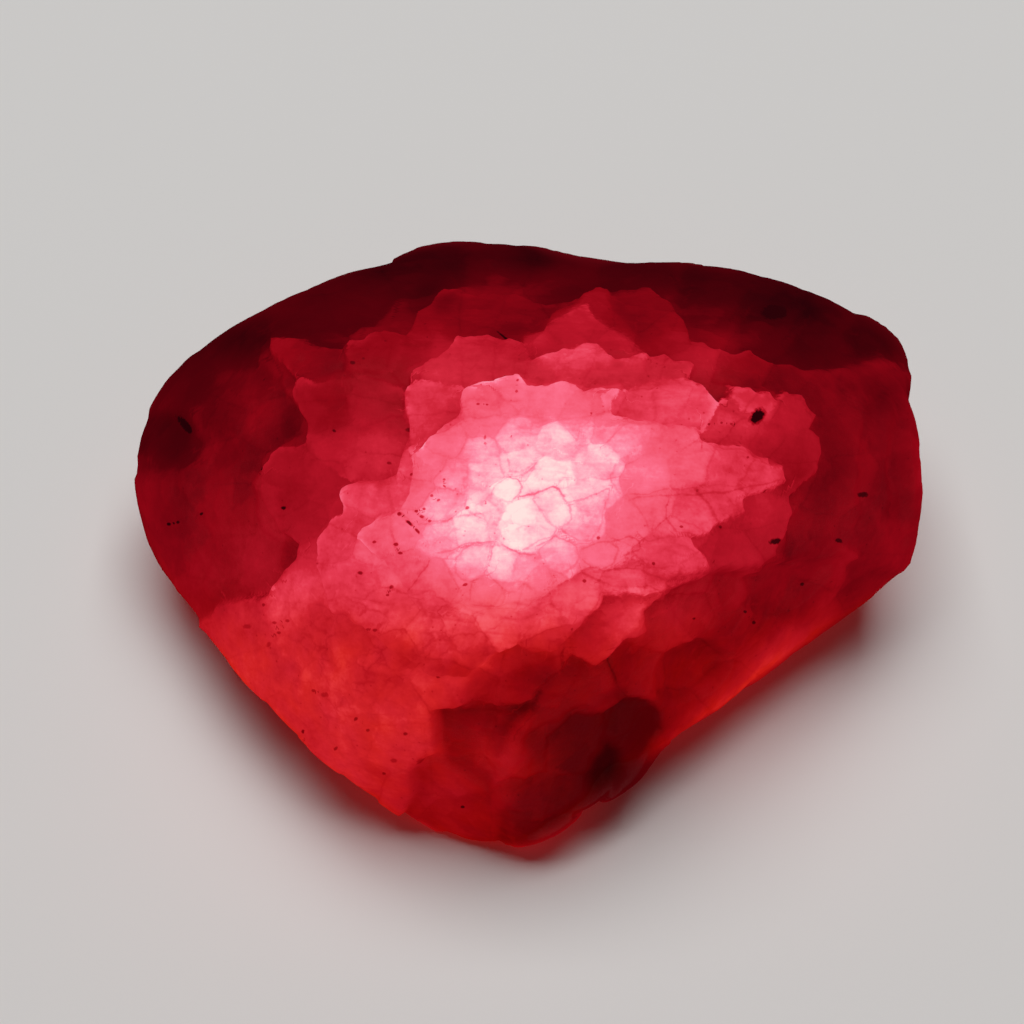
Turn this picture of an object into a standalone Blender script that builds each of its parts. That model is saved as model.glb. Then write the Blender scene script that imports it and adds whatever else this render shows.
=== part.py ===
"""A rough, water-worn crystal of red corundum, resting on a flat broken face.

The stone is one solid. A blank is cut by named flat faces round a plan outline, then the blank is
raised and lowered by ledges, hollowed dishes and low scales. Lengths in the lists are millimetres;
the mesh is in metres, Z up, origin under the middle of the stone on the floor.

The front relief is laid out on a drawing plane: u to the right and v up, in millimetres, seen from
in front and above at SIGHT_HEIGHT degrees, with the heart of the stone at (0, 0).
"""
import bpy
import bmesh
import numpy as np

NAME = "sapphire"
MM = 0.001

# Overall blank.
HEART_HEIGHT = 6.6      # height of the heart, the point all distances below are measured from
FLOOR_CUT = 0.6         # how far the blank is cut off below the floor, which makes the resting face
SHARPNESS = 24.0        # how crisply the flat faces of the blank meet

# Plan outline of the stone at its widest, anticlockwise from the right end.
CURVE_STEPS = 12        # points on the curve from each of these to the next
GIRDLE = [
    (17.5, 3.0), (17.2, 6.0), (17.7, 9.5), (16.5, 11.5), (12.0, 13.0), (7.0, 13.7), (2.5, 13.5),
    (-0.5, 15.7), (-2.5, 16.1), (-5.0, 15.5), (-8.0, 13.5), (-13.0, 11.0), (-17.0, 9.5), (-18.8, 7.0),
    (-18.6, 4.0), (-16.6, -1.0), (-14.0, -5.2), (-10.5, -9.0), (-8.0, -10.6), (-4.5, -11.7),
    (-2.0, -12.7), (0.0, -14.1), (1.6, -14.6), (3.3, -14.3), (4.5, -12.6), (5.8, -10.1), (8.0, -7.8),
    (11.0, -5.1), (14.0, -2.9), (17.4, -1.0),
]

# Flat faces: degrees round from the right end, degrees up, distance from the heart.
FACES = {
    "heart_slope": (270, 74, 8.5),
    "back_slope": (90, 68, 9.7),
    "left_slope": (178, 47, 13.3),
    "front_left_slope": (232, 50, 9.7),
    "left_front": (217, 28, 11.4),
    "tip_face": (275, 22, 11.9),
    "front_right_flank": (310, 16, 10.8),
    "right_front_slope": (320, 50, 11.0),
    "right_slope": (10, 58, 13.0),
    "back_left_slope": (130, 50, 14.0),
    "back_right_slope": (50, 50, 14.9),
    "under_front": (283, -38, 13.7),
    "under_front_left": (218, -40, 12.2),
    "under_front_right": (313, -40, 10.7),
    "under_left": (178, -38, 16.3),
    "under_right": (0, -40, 16.0),
    "under_back": (90, -30, 12.0),
}

# The drawing plane for the front relief.
SIGHT_HEIGHT = 50.0     # degrees above the floor
SIGHT_DISTANCE = 129.3  # from the heart
SEEN_FROM = -0.1        # cosine between a face and the line of sight where the front relief begins
SEEN_FULLY = 0.4        # and where it has its full height
WANDER_SIZE = 0.9       # size of the small bends in its edges
WANDER_SHIFT = 0.05     # and how far they go
LIFT_ROUNDS = 3         # times the shift of the relief, by its own height, is worked out
LIFT_WIDTH = 2.0        # and how softly its steps are taken then

# Ledges: broken edges of stacked growth layers. Rise, then the edge, clockwise from the left.
LEDGE_WIDTH = 0.6       # plan width of the sloping edge
LEDGES = {
    "outer_ledge": (0.45, [
        (-15.2, -3.9), (-13.9, -2.8), (-12.6, -2.5), (-12.0, -2.3), (-11.3, -1.3), (-10.8, -0.6),
        (-10.4, -0.1), (-11.2, 0.5), (-11.9, 1.3), (-12.1, 2.5), (-12.1, 3.3), (-11.7, 4.0), (-11.2, 4.3),
        (-10.5, 4.3), (-10.0, 4.6), (-10.1, 5.3), (-10.5, 6.1), (-10.7, 6.9), (-10.6, 7.4), (-11.1, 8.1),
        (-11.7, 8.6), (-11.7, 9.1), (-10.9, 9.2), (-10.0, 9.0), (-9.2, 8.8), (-8.5, 8.8), (-8.0, 9.1),
        (-7.3, 9.15), (-7.0, 9.3), (-6.6, 9.5), (-6.0, 9.5), (-5.7, 9.2), (-5.4, 9.5), (-5.1, 10.1),
        (-4.9, 10.4), (-4.5, 10.8), (-4.3, 11.1), (-3.9, 11.35), (-3.5, 11.35), (-3.0, 11.2), (-2.4, 11.15),
        (-1.9, 11.3), (-0.7, 11.25), (0.3, 10.9), (1.3, 11.0), (2.4, 11.2), (3.6, 11.4), (5.0, 11.5),
        (5.4, 11.4), (5.9, 11.1), (6.4, 10.85), (6.6, 10.4), (6.9, 10.0), (7.1, 9.6), (7.3, 9.2),
        (7.9, 9.0),
        (8.4, 8.7), (9.4, 8.6), (10.0, 8.8), (10.6, 8.3),
        (12.0, 8.1), (12.7, 7.9), (14.0, 8.0), (15.0, 8.0), (16.0, 8.7), (17.0, 7.9), (17.8, 7.2),
        (19.5, 3.0), (18.8, -2.0), (14.4, -0.8), (12.9, -0.7), (11.0, -1.0), (10.4, -1.3), (9.2, -1.3),
        (7.9, -1.4), (6.9, -1.9), (6.0, -2.3), (5.1, -3.1), (5.2, -3.9), (4.2, -4.4), (3.6, -5.2),
        (2.8, -5.5), (1.8, -5.0), (1.4, -5.5), (0.6, -6.3), (0.0, -6.9), (-1.4, -7.3), (-3.1, -7.1),
        (-3.6, -7.4), (-4.4, -7.6), (-4.2, -8.6), (-4.4, -9.5), (-5.3, -10.2), (-5.3, -11.2), (-5.7, -12.1),
        (-7.5, -13.0),
        (-13.0, -9.5)]),
    "middle_ledge": (0.4, [
        (-9.0, -3.1), (-9.3, -2.0), (-9.6, -1.1), (-9.7, 0.2), (-9.1, 1.1), (-8.6, 1.4), (-8.6, 2.4),
        (-8.1, 2.8), (-7.0, 2.9), (-6.1, 3.3), (-5.8, 4.4), (-5.6, 5.4), (-5.8, 6.4), (-5.7, 6.9),
        (-5.5, 7.2), (-5.5, 7.7), (-5.2, 7.9), (-4.7, 8.2), (-4.4, 8.4), (-4.0, 8.5), (-3.7, 8.7),
        (-3.5, 9.0),
        (-3.4, 9.3), (-2.5, 9.4), (-1.9, 9.4), (-1.0, 9.3), (-0.5, 9.2), (-0.2, 8.8), (0.0, 8.3),
        (0.3, 8.4),
        (0.7, 8.65), (1.2, 8.75), (1.9, 8.8), (2.4, 9.0), (2.9, 8.95), (3.4, 8.7), (3.8, 8.4), (4.9, 8.6),
        (5.5, 8.5), (6.0, 8.55), (6.4, 8.35), (7.2, 8.2), (7.4, 8.05), (7.2, 7.8), (7.0, 7.4), (7.7, 7.1),
        (8.0, 6.8), (8.4, 6.3), (8.9, 6.6), (9.1, 7.1), (9.7, 7.0), (10.0, 6.75), (10.4, 6.9), (10.7, 6.8),
        (10.9, 6.4), (11.2, 6.6), (11.6, 7.0), (12.1, 6.6), (12.5, 6.1), (12.9, 5.8), (12.7, 5.2),
        (13.0, 4.8), (13.2, 4.0), (13.0, 3.4), (12.6, 3.0), (11.8, 2.1), (11.9, 1.3), (11.0, -0.6),
        (9.8, -1.1), (8.1, -1.2),
        (6.9, -1.7), (5.1, -2.3), (3.4, -2.3), (3.0, -3.0), (2.1, -3.8), (1.7, -4.2), (1.3, -4.8),
        (0.1, -5.0), (-0.6, -4.5), (-1.7, -5.0), (-2.9, -6.1), (-4.4, -6.0), (-6.0, -5.0), (-7.4, -3.8)]),
    "heart_ledge": (0.35, [
        (-7.8, 0.2), (-7.6, 0.8), (-6.9, 1.1), (-6.0, 1.5), (-5.7, 2.2), (-5.4, 3.2), (-5.3, 3.9),
        (-4.5, 4.4), (-4.0, 5.1), (-3.6, 5.6), (-3.3, 6.0), (-3.1, 6.9), (-2.9, 7.1), (-2.5, 7.25),
        (-1.7, 7.3), (-1.35, 7.45), (-1.1, 7.6), (-0.8, 7.65), (-0.5, 7.55), (-0.3, 7.35), (-0.1, 7.1),
        (0.7, 7.1), (1.3, 7.3), (1.9, 7.15), (2.4, 6.9), (3.1, 7.05), (3.5, 7.05), (3.9, 6.85), (3.7, 6.4),
        (3.9, 6.0), (4.8, 5.7), (6.2, 5.4), (7.5, 5.3), (7.7, 4.7), (8.8, 4.5), (9.9, 4.3), (10.4, 4.0),
        (10.7, 3.9), (10.7, 3.6), (11.4, 3.5), (11.6, 2.9), (10.8, 2.5), (10.4, 2.4), (9.8, 2.1),
        (9.6, 1.9),
        (9.7, 1.5), (9.2, 1.2), (8.4, 0.8), (8.2, 0.6), (7.6, 0.4), (7.2, 0.3), (7.4, -0.1), (7.8, -0.6),
        (7.8, -1.0), (7.2, -1.3), (5.8, -1.3),
        (4.6, -0.6), (3.7, -1.1), (2.4, -1.1), (1.2, -1.7), (0.8, -2.3), (-0.1, -2.5), (-1.0, -2.6),
        (-2.0, -3.0), (-3.3, -2.6), (-4.0, -3.2), (-5.0, -3.0), (-5.6, -2.2), (-6.3, -1.3), (-7.0, -0.5)]),
}

# Dishes: curved flakes broken out of the front. Middle, half length, half width, turn, depth.
DISHES = {
    "tip_hollow": (2.6, -10.4, 4.6, 3.6, 62, 0.6),
    "tip_pit": (3.35, -10.4, 1.6, 0.9, 72, 0.25),
    "scallop": (-1.3, -6.0, 2.1, 1.15, 36, 0.6),
    "scallop_foot": (-1.9, -7.9, 1.5, 0.6, -8, 0.4),
    "flank_hollow": (7.4, -5.6, 2.1, 1.4, 38, 0.55),
    "flank_hollow_left": (4.9, -5.5, 1.5, 1.1, 75, 0.35),
    "flank_hollow_right": (12.0, -1.9, 1.8, 0.9, 40, 0.4),
    "left_facet": (-15.2, 4.6, 2.4, 1.2, -12, 0.35),
    "end_furrow": (16.8, 2.6, 4.6, 0.45, 93, 0.45),
    "end_furrow_inner": (15.5, 4.4, 3.4, 0.5, 84, 0.3),
    "back_hollow": (-1.5, 12.0, 2.6, 0.7, 4, 0.35),
    "back_right_hollow": (10.6, 10.5, 2.2, 0.8, -14, 0.4),
}

# Scales: low domed flakes that cover the front. Middle of each, and its height in steps.
SCALE_STEP = 0.08
SCALE_DOME = 0.06       # how far a scale falls away, per square millimetre from its middle
SCALE_SHARPNESS = 2.0   # how crisply one scale meets the next
SCALE_REACH = 6.0       # square millimetres from its middle, past which it falls no further
SCALES = {
    "heart": [
        (-0.45, 1.35, 3), (-0.2, 0.3, 3), (1.05, 1.5, 2), (2.4, 0.75, 2), (2.75, 2.2, 2), (0.6, 3.0, 3),
        (-1.1, 2.35, 3), (-0.55, 3.55, 1), (-2.15, 3.1, 1), (-1.95, 1.75, 1), (-2.7, 0.75, 2),
        (-4.2, 0.3, 2),
        (-2.75, -0.85, 2), (-1.2, -0.95, 3), (-0.3, -1.0, 1), (0.4, -1.5, 1), (1.25, -0.55, 2),
        (-2.0, -2.15, 1), (-0.9, -2.3, 2), (-0.2, -2.35, 1), (3.05, -0.45, 1), (4.4, 1.0, 0),
        (5.4, 3.2, 0), (4.4, 4.7, 1), (3.0, 3.8, 2), (1.3, 4.7, 2), (-0.7, 4.9, 1), (-2.5, 4.4, 1),
        (-3.6, 3.1, 2), (-4.1, 1.9, 1)],
    "plateau": [
        (-2.2, 6.3, 1), (-0.8, 6.7, 2), (0.8, 6.4, 1), (2.2, 6.3, 1), (3.3, 6.5, 2), (-2.2, 5.3, 0),
        (2.2, 5.2, 1), (3.4, 5.3, 0), (-3.6, 4.6, 1), (-4.7, 3.4, 1), (-5.2, 2.4, 0), (5.6, 1.6, 0),
        (-5.6, 0.6, 1), (-6.9, 0.3, 2), (-5.6, -1.2, 0), (6.2, 4.7, 1), (7.2, 3.6, 1), (8.9, 3.4, 1),
        (10.4, 3.0, 2), (8.6, 2.0, 1), (6.7, 0.6, 0), (7.4, 1.4, 0), (5.9, -0.4, 0), (-4.6, -1.6, 1)],
    "behind the brow": [
        (-4.4, 6.4, 1), (-4.4, 5.5, 0), (4.9, 6.2, 0), (6.3, 6.4, 2), (7.6, 6.2, 1), (8.7, 5.4, 0),
        (5.0, 7.8, 0), (6.9, 7.8, 1), (3.5, 8.0, 0), (2.0, 8.3, 1), (0.6, 8.3, 0), (-0.9, 8.4, -1),
        (-2.4, 8.3, 0), (-3.9, 8.1, 1), (9.3, 6.6, 1), (10.4, 6.3, 2), (9.9, 7.7, 0), (11.8, 7.5, -1),
        (9.6, 5.0, 0), (10.8, 4.8, -1), (11.8, 5.8, 1), (12.1, 4.3, 0), (12.0, 3.0, 0), (10.6, 1.5, 0)],
    "back": [
        (2.3, 9.9, 2), (3.5, 9.4, 1), (5.2, 10.5, 0), (6.0, 9.5, 0), (-0.7, 10.2, -1), (-2.3, 10.4, 0),
        (-4.1, 10.4, 1), (-5.7, 9.6, 1), (-7.3, 8.5, 2), (-5.6, 8.2, 0), (-8.0, 10.9, -1), (-10.3, 10.0, 0),
        (-13.4, 8.9, 0), (-4.6, 12.4, -1), (-1.5, 12.6, 0), (1.3, 11.7, -1), (5.4, 12.2, 0),
        (8.6, 11.6, -1),
        (8.2, 10.0, 0), (10.9, 10.6, -1), (10.7, 9.4, 0), (13.6, 10.2, 0), (15.7, 9.5, -1),
        (13.4, 8.8, -1)],
    "left": [
        (-6.9, 7.1, 1), (-9.2, 7.0, 1), (-9.6, 8.3, 0), (-10.9, 8.7, 2), (-9.3, 5.9, 0), (-7.5, 6.0, 1),
        (-7.0, 4.8, 0), (-8.8, 4.6, 1), (-7.4, 3.4, 0), (-11.1, 3.4, 2), (-11.2, 2.1, 1), (-9.6, 2.8, 0),
        (-7.6, 2.0, 2), (-10.5, 0.9, 0), (-9.0, 0.3, 1), (-8.3, 1.1, 0), (-15.9, 7.2, 1), (-13.2, 7.1, 0),
        (-12.2, 5.3, -1), (-14.2, 5.6, 0), (-16.4, 4.6, -1), (-13.6, 3.7, 0), (-16.4, 2.2, 1),
        (-13.8, 1.6, 0), (-16.4, -0.2, 1), (-14.3, -0.9, 0), (-12.2, -0.9, -1), (-15.0, -2.5, 1)],
    "lower left": [
        (-8.3, -1.9, 2), (-10.5, -1.9, 1), (-11.0, -3.5, 1), (-13.0, -4.0, 0), (-12.3, -5.8, 1),
        (-10.1, -5.2, 0), (-8.2, -4.4, 0), (-6.7, -3.0, 1), (-6.2, -5.0, 0), (-4.5, -4.2, 1),
        (-4.3, -6.3, 0),
        (-8.0, -6.8, 1), (-10.4, -7.4, 0), (-6.0, -7.2, 0), (-8.2, -8.9, 0), (-9.4, -9.7, 1),
        (-6.2, -9.3, 1),
        (-5.8, -11.2, 2), (-7.6, -11.0, 0), (-2.9, -4.4, 0)],
    "front": [
        (-1.4, -3.6, 1), (0.2, -3.4, 0), (1.9, -2.4, 1), (4.4, -1.5, 1), (4.0, -2.9, 0), (2.9, -4.3, 0),
        (0.7, -4.6, -1), (-3.3, -8.8, 0), (-3.1, -10.6, 1), (-3.0, -12.3, 0), (-0.6, -9.3, 2),
        (-0.6, -12.0, 0), (0.5, -7.6, 2), (2.6, -6.5, 1), (1.2, -6.0, 0), (4.9, -5.9, 0), (2.0, -9.0, 0),
        (4.9, -8.4, -1), (2.2, -12.2, -1)],
    "flank": [
        (6.0, -3.7, 1), (7.3, -3.0, 0), (8.9, -2.3, 0), (10.8, -2.2, -1), (7.4, -5.6, -1), (9.3, -4.0, 1),
        (10.6, -4.5, 1), (8.6, -6.6, 1), (6.8, -7.8, 0), (12.6, -2.6, 0), (13.6, -1.3, 2), (15.2, -1.6, 0),
        (9.3, -0.5, 1), (10.8, 0.2, 0), (12.7, 0.2, -1), (13.9, 2.6, 0), (13.9, 5.2, 0), (14.9, 7.2, 1),
        (13.3, 6.9, 0), (16.6, 5.8, 1), (17.2, 2.2, 0), (15.7, 0.5, 0), (7.3, -1.6, 1), (5.8, -1.5, 0)],
}

# Scales on the sides and the underside, where nothing is laid out by hand.
HIDDEN_SCALES = 190
HIDDEN_SCATTER = 0.07   # how far each is moved off the even pattern, as a share of the radius
HIDDEN_RISE = 0.35      # most that one is higher or lower than the blank
HIDDEN_LIFT = 0.1
HIDDEN_DOME = 12.0      # how far one falls away, per square of the distance as a share of the radius
HIDDEN_SHARPNESS = 260.0
HIDDEN_SEED = 11

# Mesh.
SPHERE_STEPS = 7        # times the starting icosphere is divided, 81920 faces
KEPT_FACES = 0.118      # share of those faces kept after the flat parts are thinned out

COLOUR = (0.40, 0.012, 0.028, 1.0)
ROUGHNESS = 0.45


def unit(azimuth, elevation):
    """A direction from degrees round from the right end and degrees up."""
    a, e = np.radians(azimuth), np.radians(elevation)
    return np.array([np.cos(e) * np.cos(a), np.cos(e) * np.sin(a), np.sin(e)])


def smooth(t):
    """0 below 0, 1 above 1, an S-shaped rise between."""
    t = np.clip(t, 0, 1)
    return t * t * (3 - 2 * t)


def girdle_radius(theta):
    """Plan radius at each angle of a smooth closed curve through the GIRDLE points."""
    p1 = np.array(GIRDLE)
    p0, p2, p3 = np.roll(p1, 1, 0), np.roll(p1, -1, 0), np.roll(p1, -2, 0)
    t = np.linspace(0, 1, CURVE_STEPS, endpoint=False)[:, None, None]
    curve = p1 + 0.5 * (p2 - p0) * t
    curve = curve + (p0 - 2.5 * p1 + 2 * p2 - 0.5 * p3) * t ** 2
    curve = curve + 0.5 * (3 * p1 - p0 - 3 * p2 + p3) * t ** 3
    curve = curve.reshape(-1, 2)
    angle = np.arctan2(curve[:, 1], curve[:, 0])
    order = np.argsort(angle)
    return np.interp(theta, angle[order], np.hypot(curve[:, 0], curve[:, 1])[order], period=2 * np.pi)


def blank_radius(d):
    """Distance from the heart to the blank along unit directions d: a softened nearest face."""
    theta = np.arctan2(d[:, 1], d[:, 0])
    total = (np.hypot(d[:, 0], d[:, 1]) / girdle_radius(theta)) ** SHARPNESS
    total += (np.maximum(-d[:, 2], 0) / (HEART_HEIGHT + FLOOR_CUT)) ** SHARPNESS
    for azimuth, elevation, distance in FACES.values():
        total += (np.maximum(d @ unit(azimuth, elevation), 0) / distance) ** SHARPNESS
    return total ** (-1 / SHARPNESS)


def line_of_sight():
    return unit(270, SIGHT_HEIGHT)


def drawn(p):
    """Drawing-plane u and v of points measured from the heart, in perspective."""
    e = np.radians(SIGHT_HEIGHT)
    scale = SIGHT_DISTANCE / (SIGHT_DISTANCE - p @ line_of_sight())
    return p[:, 0] * scale, p @ np.array([0, np.sin(e), np.cos(e)]) * scale


def facing(d, step=0.004):
    """Cosine between the blank's outward normal and the line of sight."""
    slope = np.empty_like(d)
    for k in range(3):
        ahead, behind = d.copy(), d.copy()
        ahead[:, k] += step
        behind[:, k] -= step
        far, near = np.linalg.norm(ahead, axis=1), np.linalg.norm(behind, axis=1)
        slope[:, k] = far / blank_radius(ahead / far[:, None]) - near / blank_radius(behind / near[:, None])
    return (slope / np.linalg.norm(slope, axis=1)[:, None]) @ line_of_sight()


def wander(u, v, size=WANDER_SIZE, shift=WANDER_SHIFT):
    """Shift u and v a little, unevenly, so that no edge runs straight."""
    a = np.sin(2.1 * u / size + 1.3 * np.sin(1.7 * v / size + 0.6))
    a = a + 0.6 * np.sin(4.3 * v / size + 3.1 * u / size + 1.1)
    b = np.sin(2.3 * v / size + 1.3 * np.sin(1.9 * u / size + 2.1))
    b = b + 0.6 * np.sin(4.7 * u / size - 2.9 * v / size + 0.4)
    return u + shift * a, v + shift * b


def depth_inside(u, v, outline):
    """Distance to a closed outline, positive inside it and negative outside."""
    corners = np.array(outline)
    nearest = np.full(u.shape, 1e9)
    inside = np.zeros(u.shape, bool)
    for (x0, y0), (x1, y1) in zip(corners, np.roll(corners, -1, 0)):
        dx, dy = x1 - x0, y1 - y0
        t = np.clip(((u - x0) * dx + (v - y0) * dy) / (dx * dx + dy * dy), 0, 1)
        nearest = np.minimum(nearest, np.hypot(u - x0 - t * dx, v - y0 - t * dy))
        crosses = (y0 > v) != (y1 > v)
        inside ^= crosses & (u < x0 + (v - y0) * dx / (dy if dy else 1e-9))
    return np.where(inside, nearest, -nearest)


def domes(gap, height, dome, sharp):
    """Height at squared distances gap from the middles of domes, each dome ruling its own cell."""
    weight = np.exp(-sharp * (gap - gap.min(axis=1)[:, None]))
    return (weight * (height - dome * gap)).sum(axis=1) / weight.sum(axis=1)


def layers_rise(u, v, width):
    """Rise of the ledges, each a smooth step of this width at its edge, less dishes."""
    rise = np.zeros(u.shape)
    for height, outline in LEDGES.values():
        rise += height * smooth(depth_inside(u, v, outline) / width + 0.5)
    for x, y, length, across, turn, depth in DISHES.values():
        c, s = np.cos(np.radians(turn)), np.sin(np.radians(turn))
        a, b = (u - x) * c + (v - y) * s, (v - y) * c - (u - x) * s
        rise -= depth * np.clip(1 - (a / length) ** 2 - (b / across) ** 2, 0, 1)
    return rise


def front_relief(u, v):
    """Rise of the broken front over the blank: ledges and dishes, and scales on them."""
    u, v = wander(u, v)
    scales = np.array([scale for group in SCALES.values() for scale in group])
    gap = (u[:, None] - scales[:, 0]) ** 2 + (v[:, None] - scales[:, 1]) ** 2
    gap = np.minimum(gap, SCALE_REACH)
    return layers_rise(u, v, LEDGE_WIDTH) + domes(gap, SCALE_STEP * scales[:, 2], SCALE_DOME, SCALE_SHARPNESS)


def laid_out(d, radius, seen):
    """Drawing-plane u and v along directions d. The relief lifts the surface, which shifts it on the
    plane, so a relief with wide soft steps is laid on in a few rounds until the place settles."""
    lift = np.zeros(len(d))
    for _ in range(LIFT_ROUNDS):
        u, v = drawn(d * (radius + lift)[:, None])
        lift = seen * layers_rise(u, v, LIFT_WIDTH)
    return drawn(d * (radius + lift)[:, None])


def hidden_relief(d):
    """Rise of larger scales, spread evenly over all directions at seeded random heights."""
    k = np.arange(HIDDEN_SCALES)
    z = 1 - 2 * (k + 0.5) / HIDDEN_SCALES
    turn = k * np.pi * (3 - np.sqrt(5))
    ring = np.sqrt(1 - z * z)
    middles = np.stack([ring * np.cos(turn), ring * np.sin(turn), z], axis=1)
    shuffle = np.random.default_rng(HIDDEN_SEED)
    middles += shuffle.normal(0, HIDDEN_SCATTER, middles.shape)
    height = shuffle.uniform(-HIDDEN_RISE, HIDDEN_RISE, HIDDEN_SCALES)
    gap = ((d[:, None] - middles) ** 2).sum(axis=2)
    return HIDDEN_LIFT + domes(gap, height, HIDDEN_DOME, HIDDEN_SHARPNESS)


def stone_points(d):
    """Surface points in millimetres above the floor, along unit directions d from the heart."""
    r = blank_radius(d)
    seen = smooth((facing(d) - SEEN_FROM) / (SEEN_FULLY - SEEN_FROM))
    u, v = laid_out(d, r, seen)
    r = r + seen * front_relief(u, v) + (1 - seen) * hidden_relief(d)
    r = np.minimum(r, HEART_HEIGHT / np.maximum(-d[:, 2], 1e-6))
    return d * r[:, None] + np.array([0, 0, HEART_HEIGHT])


def clear_scene():
    for thing in list(bpy.data.objects):
        bpy.data.objects.remove(thing, do_unlink=True)


def corundum():
    """Deep red translucent stone with a silky, water-worn surface."""
    material = bpy.data.materials.new("corundum")
    material.use_nodes = True
    shader = material.node_tree.nodes["Principled BSDF"]
    shader.inputs["Base Color"].default_value = COLOUR
    shader.inputs["Roughness"].default_value = ROUGHNESS
    shader.inputs["Metallic"].default_value = 0.0
    material.diffuse_color = COLOUR
    return material


def stone():
    """An icosphere drawn out to the stone's surface, with the flat parts thinned."""
    ball = bmesh.new()
    bmesh.ops.create_icosphere(ball, subdivisions=SPHERE_STEPS, radius=1.0)
    mesh = bpy.data.meshes.new(NAME)
    ball.to_mesh(mesh)
    ball.free()
    d = np.empty(len(mesh.vertices) * 3)
    mesh.vertices.foreach_get("co", d)
    d = d.reshape(-1, 3)
    p = stone_points(d / np.linalg.norm(d, axis=1)[:, None])
    p[:, :2] -= (p[:, :2].min(axis=0) + p[:, :2].max(axis=0)) / 2
    mesh.vertices.foreach_set("co", (p * MM).ravel())
    mesh.update()
    mesh.materials.append(corundum())
    body = bpy.data.objects.new(NAME, mesh)
    thin = body.modifiers.new("thin out flat parts", "DECIMATE")
    thin.ratio = KEPT_FACES
    return body


def build():
    clear_scene()
    shelf = bpy.data.collections.new(NAME)
    bpy.context.scene.collection.children.link(shelf)
    shelf.objects.link(stone())


build()
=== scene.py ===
import bpy
import numpy as np
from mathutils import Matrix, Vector


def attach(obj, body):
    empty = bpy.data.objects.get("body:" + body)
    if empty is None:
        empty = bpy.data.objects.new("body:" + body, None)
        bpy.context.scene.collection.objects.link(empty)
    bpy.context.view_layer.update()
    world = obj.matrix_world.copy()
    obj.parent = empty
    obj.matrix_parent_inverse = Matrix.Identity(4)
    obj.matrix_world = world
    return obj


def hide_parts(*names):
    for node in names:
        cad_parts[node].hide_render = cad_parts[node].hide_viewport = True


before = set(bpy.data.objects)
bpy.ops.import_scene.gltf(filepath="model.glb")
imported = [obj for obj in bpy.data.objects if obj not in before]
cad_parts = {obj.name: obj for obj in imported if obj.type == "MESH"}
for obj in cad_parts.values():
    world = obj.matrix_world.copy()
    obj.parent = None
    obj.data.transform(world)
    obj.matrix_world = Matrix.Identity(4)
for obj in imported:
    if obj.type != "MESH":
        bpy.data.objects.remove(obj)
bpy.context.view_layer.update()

MM = 0.001

# ---------------------------------------------------------------------------------------------
# The blank of the stone: a rough crystal of red corundum, tumbled in a river bed, with worn flat
# faces round a blunt-cornered plan and one flat broken face that it rests on. Lengths are in mm,
# measured from the heart of the stone.

HEART_HEIGHT = 6.6      # of the heart above the table
FLOOR_CUT = 0.6         # how far below the table the blank is cut off
SHARPNESS = 24.0        # how crisply the flat faces meet
CURVE_STEPS = 12        # points on the plan curve from each of those below to the next

# Plan outline at the widest, anticlockwise from the right end.
GIRDLE = [
    (17.5, 3.0), (17.2, 6.0), (17.7, 9.5), (16.5, 11.5), (12.0, 13.0), (7.0, 13.7), (2.5, 13.5),
    (-0.5, 15.7), (-2.5, 16.1), (-5.0, 15.5), (-8.0, 13.5), (-13.0, 11.0), (-17.0, 9.5), (-18.8, 7.0),
    (-18.6, 4.0), (-16.6, -1.0), (-14.0, -5.2), (-10.5, -9.0), (-8.0, -10.6), (-4.5, -11.7), (-2.0, -12.7),
    (0.0, -14.1), (1.6, -14.6), (3.3, -14.3), (4.5, -12.6), (5.8, -10.1), (8.0, -7.8), (11.0, -5.1),
    (14.0, -2.9), (17.4, -1.0),
]

# Flat faces: degrees round from the right end, degrees up, distance from the heart.
FACES = {
    "heart_slope": (270, 74, 8.5),
    "back_slope": (90, 68, 9.7),
    "left_slope": (178, 47, 13.3),
    "front_left_slope": (232, 50, 9.7),
    "left_front": (217, 28, 11.4),
    "tip_face": (275, 22, 11.9),
    "front_right_flank": (310, 16, 10.8),
    "right_front_slope": (320, 50, 11.0),
    "right_slope": (10, 58, 13.0),
    "back_left_slope": (130, 50, 14.0),
    "back_right_slope": (50, 50, 14.9),
    "under_front": (283, -38, 13.7),
    "under_front_left": (218, -40, 12.2),
    "under_front_right": (313, -40, 10.7),
    "under_left": (178, -38, 16.3),
    "under_right": (0, -40, 16.0),
    "under_back": (90, -30, 12.0),
}


def unit(azimuth, elevation):
    """A direction from degrees round from the right end and degrees up."""
    a, e = np.radians(azimuth), np.radians(elevation)
    return np.array([np.cos(e) * np.cos(a), np.cos(e) * np.sin(a), np.sin(e)])


def smooth(t):
    """0 below 0, 1 above 1, an S-shaped rise between: three t squared less two t cubed."""
    t = np.clip(t, 0, 1)
    return t * t * (3 - 2 * t)


def girdle_radius(theta):
    """Plan radius at each angle of the cubic curve that runs smoothly through the GIRDLE points."""
    p1 = np.array(GIRDLE)
    p0, p2, p3 = np.roll(p1, 1, 0), np.roll(p1, -1, 0), np.roll(p1, -2, 0)
    t = np.linspace(0, 1, CURVE_STEPS, endpoint=False)[:, None, None]
    curve = p1 + 0.5 * (p2 - p0) * t
    curve = curve + (p0 - 2.5 * p1 + 2 * p2 - 0.5 * p3) * t ** 2
    curve = curve + 0.5 * (3 * p1 - p0 - 3 * p2 + p3) * t ** 3
    curve = curve.reshape(-1, 2)
    angle = np.arctan2(curve[:, 1], curve[:, 0])
    order = np.argsort(angle)
    return np.interp(theta, angle[order], np.hypot(curve[:, 0], curve[:, 1])[order], period=2 * np.pi)


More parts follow.
